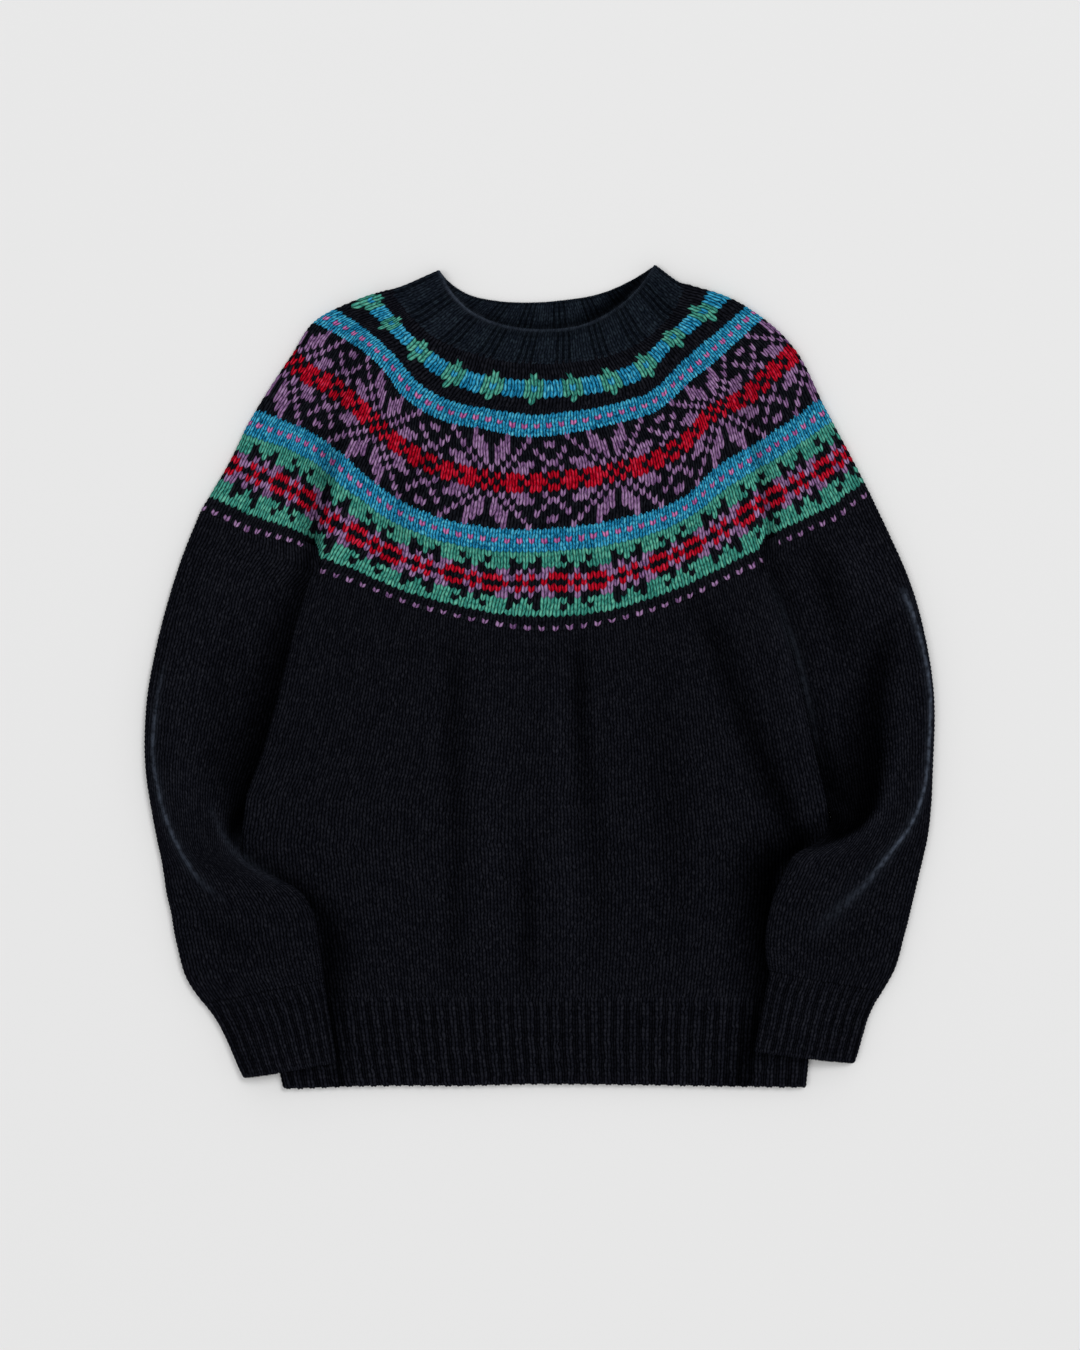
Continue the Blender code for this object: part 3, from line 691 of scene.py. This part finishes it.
def rim(form, length, radius):
    """A cord along a form's upper edge, round its turned-in cloth: share along it, and up round it."""

    def rim_form(share, up):
        place, out, rise, _ = surface(form, share, np.full(share.shape, 1 - TURN / length))
        angle = 2 * np.pi * (up + 0.5)
        out_by, up_by = radius * np.cos(angle) - TURN, radius * np.sin(angle)
        return place + out * out_by[:, None] + rise * up_by[:, None]

    return rim_form


def lift(x, y):
    """Height of a sleeve's underside: on the surface, or up on the body."""
    beyond = np.maximum(left_side(y) - x, x - right_side(y))
    climb = smooth((CLIMB_FROM - beyond) / (CLIMB_FROM - CLIMB_TO))
    return OVER * climb * smooth((LIFT_FROM - y) / (LIFT_FROM - LIFT_TO))


def sleeve_sections(table, side, tucked):
    """A sleeve's sections, with those beside the body read from its side."""
    return np.array([
        (*outer, side(iy) + tucked if ix is None else ix, iy) for *outer, ix, iy in table], float)


def tube_form(sections):
    """A flattened tube: share round it, from its outer fold over the top and back underneath, and up it."""
    middles = (sections[:, :2] + sections[:, 2:]) / 2
    knots = lengths(middles) / lengths(middles)[-1]
    right = sections[0, 0] > sections[0, 2]

    def form(share, up):
        place = hermite(knots, sections, 1 - up)
        outer, inner = place[:, :2], place[:, 2:]
        length = np.linalg.norm(inner - outer, axis=1)
        share = (1 - share if right else share) % 1
        over = share < 0.5
        full = smooth((1 - up) / FULL_BY)
        roll = ROLL + (SLEEVE_ROLL - ROLL) * full
        reach, turned_up = across(np.where(over, 2 * share, 2 - 2 * share), length, roll)
        x, y = (outer + (inner - outer) * (reach / length)[:, None]).T
        sunk = UNDER * (1 - smooth((1 - up) / SLEEVE_RISES))
        top = face(x, y, sleeve_fall) + sizes().puff / MM * full - sunk
        z = lift(x, y) + MIDDLE + np.where(over, top - MIDDLE, -MIDDLE) * turned_up
        return np.stack([x, y, z], axis=-1)

    return form


# A stitch is drawn with 4 faces across and 2 up: heights of its border, first leg, middle and second leg, and
# of a row's edge and middle, for a knit stitch and for one that lies in a furrow
ACROSS, UP = 4, 2
LEG = np.array([0.0, 1.0, 0.35, 1.0])
LEG_ALONG = np.array([0.55, 1.0])
PURL = np.array([0.2, 0.6, 0.7, 0.6])
PURL_ALONG = np.array([0.0, 1.0])
TUCK = 0.9  # how far the rows that are tucked under a piece lie below it, in millimetres
TUCK_SLOPE = 1.5  # how steeply they go down there
RIB_STARTS, RIB_FADES = 1.3, 3.5  # rows over which a rib rises from its edge, and fades into the cloth above
ROW_STRAYS, LOFT_STRAYS = 1.3, 1.5  # how far rows and yarn stray, as times how far stitches do
SLIMMEST = 0.25  # least share of its relief that a narrow stitch keeps


def surface(form, share, up):
    """Places on a form, with the ways out of the cloth and up it there, and how wide a whole share is."""
    small = 1e-3
    over = form(share + small, up) - form(share - small, up)
    rise = form(share, up + small) - form(share, up - small)
    out = np.cross(over, rise)
    return form(share, up), out / length_of(out), rise / length_of(rise), length_of(over)[:, 0] / (2 * small)


def length_of(vectors):
    return np.linalg.norm(vectors, axis=1)[:, None]


class Strip:
    """A stretch of knitting on a form: stitches across it and rows up it, with the yarn of each stitch.

    widths are the stitches' own, lines the form's up at each row's edge, and yarns has each stitch's yarn in
    rows from the lowest. lean is how far a leg rises over its half of a stitch, in rows. purl says which
    stitches lie in a furrow. The tucked rows at the top lie under the piece above, and the lowest row's
    points hang over the piece below if it hangs. edge is the row where an edge has turned and ribs begin,
    which then fade out at the top. looks gives the folds' shade, light how much more light the strip catches
    than plain cloth, and furrow_shade the share that its furrows lose.
    """

    def __init__(self, form, widths, lines, yarns, lean=0.6, purl=None, tuck=1, hang=True, edge=None,
                 looks=None, light=1.0, furrow_shade=0.4, seed=1):
        self.form, self.yarns, self.lean, self.tuck, self.hang = form, yarns, lean, tuck, hang
        self.edges = np.concatenate([[0], np.cumsum(widths)]) / np.sum(widths)
        self.lines = np.asarray(lines, float)
        self.purl = np.zeros(len(widths)) if purl is None else np.asarray(purl, float)
        self.edge, self.looks, self.seed = edge, looks, seed
        self.light, self.furrow_shade = light, furrow_shade
        self.stitches, self.rows = len(widths), len(lines) - 1
        column, row = np.meshgrid(np.arange(ACROSS * self.stitches + 1), np.arange(UP * self.rows + 1))
        self.column, self.row = column.ravel(), row.ravel()

    def furrows(self, v):
        """How far each vertex lies in a furrow: half way on its border, and less near either end of a rib."""
        stitch = np.minimum(self.column // ACROSS, self.stitches - 1)
        before = np.where(self.column % ACROSS == 0, np.maximum(stitch - 1, 0), stitch)
        furrow = (self.purl[stitch] + self.purl[before]) / 2
        if self.edge is not None:
            furrow = furrow * smooth((v - self.edge) / RIB_STARTS) * smooth((self.rows - v) / RIB_FADES)
        return furrow

    def places(self):
        """Vertices in millimetres, and each one's stitches and rows, painted shade and painted highlight."""
        own = sizes()
        u, v = self.column / ACROSS, self.row / UP
        furrow = self.furrows(v)
        slope = self.lean * np.abs(u % 1 - 0.5) * 2 * (1 - furrow)
        if not self.hang:
            slope = slope * np.minimum(1, v)
        leaned = v + slope * np.minimum(1, self.rows - v)
        # No two stitches are quite alike, but the first and last meet another piece's
        random = np.random.default_rng(self.seed)
        across_it, along_it, loft = random.normal(size=(3, self.rows + 2, self.stitches + 2))
        held = np.minimum(1, np.minimum(u, self.stitches - u))
        u_shift = held * own.uneven * between(across_it, u, v)
        v_shift = held * own.uneven * ROW_STRAYS * between(along_it, u, v)
        share = np.interp(np.clip(u + u_shift, 0, self.stitches), np.arange(self.stitches + 1), self.edges)
        up = np.interp(np.clip(leaned + v_shift, 0, self.rows), np.arange(self.rows + 1), self.lines)
        place, out, _, wide = surface(self.form, share, up)
        knit = LEG[self.column % ACROSS] * LEG_ALONG[self.row % UP]
        purl = PURL[self.column % ACROSS] * PURL_ALONG[self.row % UP]
        relief = (knit * (1 - furrow) + purl * furrow) * (1 + LOFT_STRAYS * own.uneven * between(loft, u, v))
        # A narrow stitch stands out less than one of the body's width
        stitch = np.minimum(self.column // ACROSS, self.stitches - 1)
        slim = np.clip(
            wide * (self.edges[stitch + 1] - self.edges[stitch]) * MM / own.stitch, SLIMMEST, 1)
        high = own.yarn_relief / MM * slim * (relief - 1) - own.rib_relief / MM * np.sqrt(slim) * furrow
        if self.tuck:
            high -= TUCK * smooth((v - (self.rows - self.tuck)) * TUCK_SLOPE)
        shade = self.light * (1 - self.furrow_shade * furrow)
        painted_highlight = np.zeros(len(u))
        if self.looks:
            x, y = place[:, 0], place[:, 1]
            # The painted shade of the folds and the painted highlight of the fuzz go only on the cloth that
            # faces up
            upper = np.clip(1 + 2 * out[:, 2], 0, 1)
            shade = shade * (1 - own.hollow_shade * self.looks(x, y) * upper)
            painted_highlight = painted_highlight_at(x, y) * upper
        place = place + out * high[:, None]
        # The cloth lies on the surface, and nothing of it lies lower
        place[:, 2] = np.maximum(place[:, 2], 0)
        return place, np.stack([u, v], axis=1), shade, painted_highlight

    def sharp(self, first, second):
        """Whether the edge between two vertices lies in a groove between legs."""
        upright = (self.column[first] == self.column[second]) & (self.column[first] % 2 == 0)
        level = (self.row[first] == self.row[second]) & (self.row[first] % UP == 0)
        return upright | level

    def yarn_of(self, corner):
        """The yarn of the face whose lowest vertex this is."""
        return self.yarns[self.row[corner] // UP, self.column[corner] // ACROSS]


def knit_piece(solid, strips, yarns=("navy",), closed=False):
    """A knitted piece round a solid: its strips' grids in one mesh, each stitch in its yarn."""
    name = solid + "_knit"
    bm = bmesh.new()
    starts = [0]
    for strip in strips:
        bmesh.ops.create_grid(bm, x_segments=ACROSS * strip.stitches, y_segments=UP * strip.rows, size=0.5)
        starts.append(len(bm.verts))
    mesh = bpy.data.meshes.new(name)
    bm.to_mesh(mesh)
    bm.free()
    drawn = [strip.places() for strip in strips]
    places, stitched, shade, painted_highlight = (np.concatenate(part) for part in zip(*drawn))
    mesh.vertices.foreach_set("co", (places * MM).astype(np.float32).ravel())
    corners = np.zeros(len(mesh.loops), int)
    mesh.loops.foreach_get("vertex_index", corners)
    ends = np.zeros(2 * len(mesh.edges), int)
    mesh.edges.foreach_get("vertices", ends)
    ends = ends.reshape(-1, 2)
    lowest = corners.reshape(-1, 4).min(axis=1)
    spun = np.zeros(len(lowest), int)
    sharp = np.zeros(len(ends), bool)
    for strip, start, end in zip(strips, starts, starts[1:]):
        mine = (lowest >= start) & (lowest < end)
        spun[mine] = strip.yarn_of(lowest[mine] - start)
        mine = (ends[:, 0] >= start) & (ends[:, 0] < end)
        sharp[mine] = strip.sharp(ends[mine, 0] - start, ends[mine, 1] - start)
    mesh.polygons.foreach_set("material_index", spun)
    mesh.shade_smooth()
    mesh.attributes.new("sharp_edge", "BOOLEAN", "EDGE").data.foreach_set("value", sharp)
    # Painted shade and painted highlight, kept on each vertex for the yarns' materials
    for key, values in (("shade", shade), ("painted_highlight", painted_highlight)):
        mesh.attributes.new(key, "FLOAT", "POINT").data.foreach_set("value", values.astype(np.float32))
    layer = mesh.uv_layers.new(name="stitches")
    layer.data.foreach_set("uv", stitched[corners].astype(np.float32).ravel())
    for each in yarns:
        mesh.materials.append(yarn(each))
    if closed:
        bm = bmesh.new()
        bm.from_mesh(mesh)
        bm.verts.ensure_lookup_table()
        seam = (strips[0].column == 0) | (strips[0].column == ACROSS * strips[0].stitches)
        bmesh.ops.remove_doubles(bm, verts=[bm.verts[int(k)] for k in np.flatnonzero(seam)], dist=1e-6)
        bm.to_mesh(mesh)
        bm.free()
    mesh.update()
    piece = bpy.data.objects.new(name, mesh)
    bpy.context.scene.collection.objects.link(piece)
    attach(piece, "root")
    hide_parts(solid)
    width, length, area = cut_of(strips)


def extent(form, low=0.0, high=1.0, steps=(121, 61)):
    """Width, length and area of a form's cloth in metres, from one up to another."""
    share, up = np.meshgrid(np.linspace(0, 1, steps[0]), np.linspace(low, high, steps[1]))
    place = (form(share.ravel(), up.ravel()) * MM).reshape(*share.shape, 3)
    over, rise = np.diff(place, axis=1), np.diff(place, axis=0)
    faces = np.cross(over[:-1], rise[:, :-1])
    return (np.linalg.norm(over, axis=2).sum(axis=1).max(), np.linalg.norm(rise, axis=2).sum(axis=0).max(),
            np.linalg.norm(faces, axis=2).sum())


def cut_of(strips):
    """A piece's flat width, length and area in metres, measured along its smooth cloth."""
    measured = [extent(strip.form, strip.lines[0], strip.lines[-1]) for strip in strips]
    widths, reaches, areas = zip(*measured)
    width, length = float(max(widths)), float(sum(reaches))
    return width, length, float(min(sum(areas), width * length))


def plain(rows, stitches):
    """A strip of one yarn."""
    return np.zeros((rows, stitches), int)


def charted(chart, first, around):
    """The yarns of a chart's rows, from its lowest, at the stitches with these numbers round the jumper."""
    letters = list(CHARTED)
    return [[letters.index(row[(k - first) % len(row)]) for k in around] for row in reversed(chart)]


# Materials

def node(tree, kind, links=None, **settings):
    """A node with its settings. links names its inputs: a value, or the output that feeds it."""
    made = tree.nodes.new(kind)
    for key, value in settings.items():
        setattr(made, key, value)
    for key, value in (links or {}).items():
        if isinstance(value, bpy.types.NodeSocket):
            tree.links.new(value, made.inputs[key])
        else:
            made.inputs[key].default_value = value
    return made


def lambswool(name, colour, pale, deep, groove):
    """Heathered woollen-spun lambswool: matt, no two legs of a stitch quite alike, with streaks of paler and
    darker fibres along them, light on top of each leg and only the groove's share of it between them, a soft
    nap with a painted highlight where it catches the light on crests, and a fine fuzzy grain."""
    made = bpy.data.materials.new(name)
    made.use_nodes = True
    tree = made.node_tree
    shader = tree.nodes["Principled BSDF"]
    stitches = node(tree, "ShaderNodeUVMap", uv_map="stitches").outputs["UV"]
    # Deep, own and pale fibres in streaks, and each leg a little darker or paler than the next
    streak = (STITCH / FIBRE_WIDE, ROW / FIBRE_LONG, 1)
    along = node(tree, "ShaderNodeVectorMath", {0: stitches, 1: streak}, operation="MULTIPLY")
    streaks = node(tree, "ShaderNodeTexNoise", {"Vector": along.outputs[0], "Scale": 1.0, "Detail": 2.0,
                                                "Roughness": 0.6})
    legs = node(tree, "ShaderNodeVectorMath", {0: stitches, 1: (2, 1, 1)}, operation="MULTIPLY")
    leg = node(tree, "ShaderNodeVectorMath", {0: legs.outputs[0]}, operation="FLOOR")
    each = node(tree, "ShaderNodeTexWhiteNoise", {"Vector": leg.outputs[0]}, noise_dimensions="2D")
    heather = node(tree, "ShaderNodeMath", {0: each.outputs["Value"], 1: LEG_TO_LEG,
                                            2: streaks.outputs["Fac"]}, operation="MULTIPLY_ADD")
    base = (*deep, 1)
    for shade, (low, high) in ((colour, OWN_FIBRES), (pale, PALE_FIBRES)):
        share = node(tree, "ShaderNodeMapRange",
                     {"Value": heather.outputs[0], "From Min": low, "From Max": high})
        base = node(tree, "ShaderNodeMix", {"Factor": share.outputs["Result"], 6: base, 7: (*shade, 1)},
                    data_type="RGBA").outputs[2]
    # The light that reaches it: less in the folds, between two legs, and where a row meets the next
    part = node(tree, "ShaderNodeSeparateXYZ", {"Vector": stitches})
    leg = node(tree, "ShaderNodeMath", {0: part.outputs["X"], 1: 0.25}, operation="PINGPONG")
    row = node(tree, "ShaderNodeMath", {0: part.outputs["Y"], 1: 0.5}, operation="PINGPONG")
    light = node(tree, "ShaderNodeAttribute", attribute_name="shade").outputs["Fac"]
    for value, reach, least, most in ((leg.outputs[0], LEG_EDGE, groove, LEG_TOP),
                                      (row.outputs[0], ROW_EDGE, ROW_GROOVE, 1.0)):
        part = node(tree, "ShaderNodeMapRange", {"Value": value, "From Min": 0, "From Max": reach,
                                                 "To Min": least, "To Max": most})
        light = node(tree, "ShaderNodeMath", {0: light, 1: part.outputs["Result"]},
                     operation="MULTIPLY").outputs[0]
    lit = node(tree, "ShaderNodeVectorMath", {0: base, "Scale": light}, operation="SCALE")
    # The nap's painted highlight, in tufts, and the grain of single fibres
    place = node(tree, "ShaderNodeTexCoord").outputs["Object"]
    painted_highlight = node(tree, "ShaderNodeAttribute", attribute_name="painted_highlight").outputs["Fac"]
    tufts = node(tree, "ShaderNodeTexNoise", {"Vector": place, "Scale": 1 / (TUFTS * MM), "Detail": 3.0})
    low, high, least, most = THICKENS
    patchy = node(tree, "ShaderNodeMapRange", {"Value": tufts.outputs["Fac"], "From Min": low,
                                               "From Max": high, "To Min": least, "To Max": most})
    fuzz = node(tree, "ShaderNodeMath", {0: painted_highlight, 1: patchy.outputs["Result"]}, operation="MULTIPLY")
    # Painted highlight: the nap's pale colour mixed in where it catches the light on crests and edges
    with_painted_highlight = node(tree, "ShaderNodeMix", {"Factor": fuzz.outputs[0], 6: lit.outputs[0],
                                         7: (*linear(PAINTED_HIGHLIGHT_COLOUR), 1)}, data_type="RGBA")
    tree.links.new(with_painted_highlight.outputs[2], shader.inputs["Base Color"])
    fibres = node(tree, "ShaderNodeTexNoise", {"Vector": place, "Scale": 1 / (GRAIN * MM), "Detail": 2.0})
    bump = node(tree, "ShaderNodeBump", {"Height": fibres.outputs["Fac"], "Strength": 0.5,
                                         "Distance": GRAIN / 2 * MM})
    tree.links.new(bump.outputs["Normal"], shader.inputs["Normal"])
    shader.inputs["Roughness"].default_value = 1.0
    shader.inputs["Specular IOR Level"].default_value = 0.0
    shader.inputs["Sheen Weight"].default_value = 0.004
    shader.inputs["Sheen Roughness"].default_value = 0.5
    shader.inputs["Sheen Tint"].default_value = (*pale, 1)
    return made


def yarn(name):
    """A yarn's material, made when it is first used."""
    full = name + " lambswool"
    if full in bpy.data.materials:
        return bpy.data.materials[full]
    _, pale, deep, groove, _ = LAMBSWOOLS[name]
    colour = getattr(bpy.context.scene.jumper_yarns, name)
    return lambswool(full, colour, linear(pale), linear(deep), groove)


def rows_up(form, share):
    """How many rows a panel has: this share of those that would fit up its greatest length."""
    return int(round(extent(form)[1] * share / sizes().row))


def row_lines(rows, above=0, below=0):
    """Edges of evenly spaced rows of a form, and of more rows above and below it."""
    return np.arange(-below, rows + above + 1) / rows


def backwards(form):
    """The same form with its shares counted from the other side, so that its outside faces down."""
    return lambda share, up: form(1 - share, up)


def panels(solid):
    """A piece's front and back: its solid, whether it is the back, and what it lies on."""
    return ((solid + "_front", False, [solid + "_back_knit"]), (solid + "_back", True, ["floor"]))


def ribbed(form, length, ribs, stitches, rows, looks, seed):
    """A rib's strip, from its turned-in edge up to the row that is tucked under the cloth above."""
    odd = np.arange(stitches) % 2
    return Strip(turned(form, length, 0, ribs), RIB_WIDTHS[odd], row_lines(rows, 1, TURNED_ROWS),
                 plain(rows + TURNED_ROWS + 1, stitches), lean=0.7, purl=odd == 0, hang=False,
                 edge=TURNED_ROWS, looks=looks, light=1.15, furrow_shade=0.52, seed=seed)


class JUMPER_OT_body(bpy.types.Operator):
    """Knit the front and back of the body"""

    bl_idname = "jumper.body"
    bl_label = "Body"

    def execute(self, context):
        stitches = 2 * sizes().hem_ribs
        for solid, back, rests_on in panels("body"):
            form = body_form(back)
            rows = rows_up(form, BODY_ROWS)
            strip = Strip(backwards(form) if back else form, np.ones(stitches), row_lines(rows, 1),
                          plain(rows + 1, stitches), lean=0.7, looks=None if back else BODY_LOOKS,
                          seed=2 + back)
            knit_piece(solid, [strip])
        return {"FINISHED"}


class JUMPER_OT_hem(bpy.types.Operator):
    """Knit the ribbed hem"""

    bl_idname = "jumper.hem"
    bl_label = "Hem rib"

    def execute(self, context):
        ribs = sizes().hem_ribs
        for solid, back, rests_on in panels("hem_rib"):
            form = hem_form(back)
            strip = ribbed(backwards(form) if back else form, RIB_TOP - HEM, ribs, 2 * ribs, HEM_ROWS,
                           None if back else BODY_LOOKS, 4 + back)
            knit_piece(solid, [strip])
        return {"FINISHED"}


class JUMPER_OT_yoke(bpy.types.Operator):
    """Knit the patterned yoke, in strips that each have fewer stitches than the one below"""

    bl_idname = "jumper.yoke"
    bl_label = "Yoke"

    def execute(self, context):
        for solid, back, rests_on in panels("yoke"):
            form = yoke_form(back)
            strips, down = [], 0.0
            for stitches, taken_in, bands in YOKE_STRIPS:
                # The front's stitches are counted from the left, and the back's go on round from the right
                around = range(stitches, 2 * stitches) if back else range(stitches)
                lines, yarns = [down], []
                for chart, first, end in bands:
                    lines += list(down + (end - down) * np.arange(1, len(chart) + 1) / len(chart))
                    yarns = charted(chart, first, around) + yarns
                    down = end
                lines = [2 * lines[0] - lines[1]] + lines
                shares = (np.arange(stitches) + 0.5) / stitches
                widths = np.ones(stitches) if back else np.interp(shares, *np.transpose(taken_in))
                strips.append(Strip(backwards(form) if back else form, widths, 1 - np.array(lines[::-1]),
                                    np.array(yarns + yarns[-1:]), lean=0.55,
                                    looks=None if back else BODY_LOOKS, seed=stitches + back))
            knit_piece(solid, strips, CHARTED.values())
        return {"FINISHED"}


class JUMPER_OT_neckband(bpy.types.Operator):
    """Knit the ribbed neckband, with its cast-off edge"""

    bl_idname = "jumper.neckband"
    bl_label = "Neckband"

    def execute(self, context):
        widths, purl = np.array(NECK_RIB * sizes().neck_ribs).T
        for solid, back, rests_on in panels("neckband"):
            form = neckband_form(back)
            facing = backwards(form) if back else form
            looks = NECK_LOOKS if back else BODY_LOOKS
            length, inside = NECK_EDGES[back]
            strip = Strip(turned(facing, length, 1), widths, row_lines(NECK_ROWS, inside),
                          plain(NECK_ROWS + inside, len(widths)), purl=purl, tuck=0, looks=looks,
                          furrow_shade=0.6, seed=6 + back)
            cast_off = Strip(rim(facing, length, CAST_OFF), np.ones(len(widths)), row_lines(3),
                             plain(3, len(widths)), lean=0.9, tuck=0, looks=looks, light=1.12, seed=8 + back)
            knit_piece(solid, [strip, cast_off], ["midnight"])
        return {"FINISHED"}


# Each sleeve's side, sections and cuff's end
SLEEVES = (
    ("left", sleeve_sections(LEFT_SLEEVE, left_side, TUCKED), np.array(LEFT_CUFF_END)),
    ("right", sleeve_sections(RIGHT_SLEEVE, right_side, -TUCKED), np.array(RIGHT_CUFF_END)),
)


class JUMPER_OT_sleeves(bpy.types.Operator):
    """Knit both sleeves as tubes"""

    bl_idname = "jumper.sleeves"
    bl_label = "Sleeves"

    def execute(self, context):
        stitches = 4 * sizes().cuff_ribs
        for seed, (side, sections, _) in enumerate(SLEEVES):
            form = tube_form(sections)
            rows = rows_up(form, SLEEVE_ROWS)
            strip = Strip(form, np.ones(stitches), row_lines(rows, 1), plain(rows + 1, stitches), lean=0.7,
                          looks=SLEEVE_LOOKS, seed=10 + seed)
            knit_piece("sleeve_" + side, [strip], closed=True)
        return {"FINISHED"}


class JUMPER_OT_cuffs(bpy.types.Operator):
    """Knit both ribbed cuffs as tubes"""

    bl_idname = "jumper.cuffs"
    bl_label = "Cuffs"

    def execute(self, context):
        stitches = 4 * sizes().cuff_ribs
        for seed, (side, sections, end) in enumerate(SLEEVES):
            last = sections[-1]
            down = np.linspace(0, 1, 9)[:, None]
            pinch = np.array([-np.sign(end[0]) * PINCH, 0, 0, 0]) * bulge(down)
            form = tube_form(last + (end - last) * down + pinch)
            strip = ribbed(form, extent(form)[1] / MM, 0, stitches, CUFF_ROWS, SLEEVE_LOOKS, 12 + seed)
            knit_piece("cuff_" + side, [strip], closed=True)
        return {"FINISHED"}


class JUMPER_OT_stage(bpy.types.Operator):
    """Lay the pale floor, light it softly from all round, and look straight down"""

    bl_idname = "jumper.stage"
    bl_label = "Stage"

    def execute(self, context):
        bm = bmesh.new()
        bmesh.ops.create_grid(bm, x_segments=1, y_segments=1, size=4)
        bmesh.ops.translate(bm, verts=bm.verts[:], vec=(0, 0, -PAPER_DROP))
        mesh = bpy.data.meshes.new("floor")
        bm.to_mesh(mesh)
        bm.free()
        # Matt backdrop paper is pale and even, with hardly a shine
        paper = bpy.data.materials.new("matt backdrop paper")
        paper.use_nodes = True
        shader = paper.node_tree.nodes["Principled BSDF"]
        shader.inputs["Base Color"].default_value = (*linear(PAPER), 1)
        shader.inputs["Roughness"].default_value = 0.95
        shader.inputs["Specular IOR Level"].default_value = 0.1
        mesh.materials.append(paper)
        floor = bpy.data.objects.new("floor", mesh)
        context.scene.collection.objects.link(floor)
        world = bpy.data.worlds.new("soft room light")
        world.use_nodes = True
        world.node_tree.nodes["Background"].inputs["Color"].default_value = (1, 1, 1, 1)
        world.node_tree.nodes["Background"].inputs["Strength"].default_value = ROOM_LIGHT
        context.scene.world = world
        context.scene.view_settings.view_transform = "Standard"
        for name, (place, width, watts) in SOFTBOXES.items():
            light = bpy.data.lights.new(name, "AREA")
            light.size = width
            light.energy = watts
            lamp = bpy.data.objects.new(name, light)
            lamp.location = place
            lamp.rotation_euler = Vector(place).to_track_quat("Z", "Y").to_euler()
            context.scene.collection.objects.link(lamp)
        lens = bpy.data.cameras.new("camera")
        lens.lens = LENS
        lens.sensor_width = SENSOR
        camera = bpy.data.objects.new("camera", lens)
        camera.location = CAMERA_AT
        context.scene.collection.objects.link(camera)
        context.scene.camera = camera
        return {"FINISHED"}


class JUMPER_PT_panel(bpy.types.Panel):
    """The jumper's pieces, sizes and yarns"""

    bl_idname = "JUMPER_PT_panel"
    bl_label = "Fair Isle Jumper"
    bl_space_type = "VIEW_3D"
    bl_region_type = "UI"
    bl_category = "Jumper"

    def draw(self, context):
        for group in (context.scene.jumper_sizes, context.scene.jumper_yarns):
            for name in group.__annotations__:
                self.layout.prop(group, name)
        for step in STEPS:
            self.layout.operator(step.bl_idname)


STEPS = (JUMPER_OT_stage, JUMPER_OT_body, JUMPER_OT_hem, JUMPER_OT_yoke, JUMPER_OT_neckband,
         JUMPER_OT_sleeves, JUMPER_OT_cuffs)
CLASSES = (YarnColours, KnitSizes, *STEPS, JUMPER_PT_panel)


def register():
    for made in CLASSES:
        bpy.utils.register_class(made)
    bpy.types.Scene.jumper_yarns = PointerProperty(type=YarnColours)
    bpy.types.Scene.jumper_sizes = PointerProperty(type=KnitSizes)


def unregister():
    del bpy.types.Scene.jumper_sizes
    del bpy.types.Scene.jumper_yarns
    for made in reversed(CLASSES):
        bpy.utils.unregister_class(made)


def main():
    register()
    for step in STEPS:
        group, name = step.bl_idname.split(".")
        getattr(getattr(bpy.ops, group), name)()


if __name__ == "__main__":
    main()
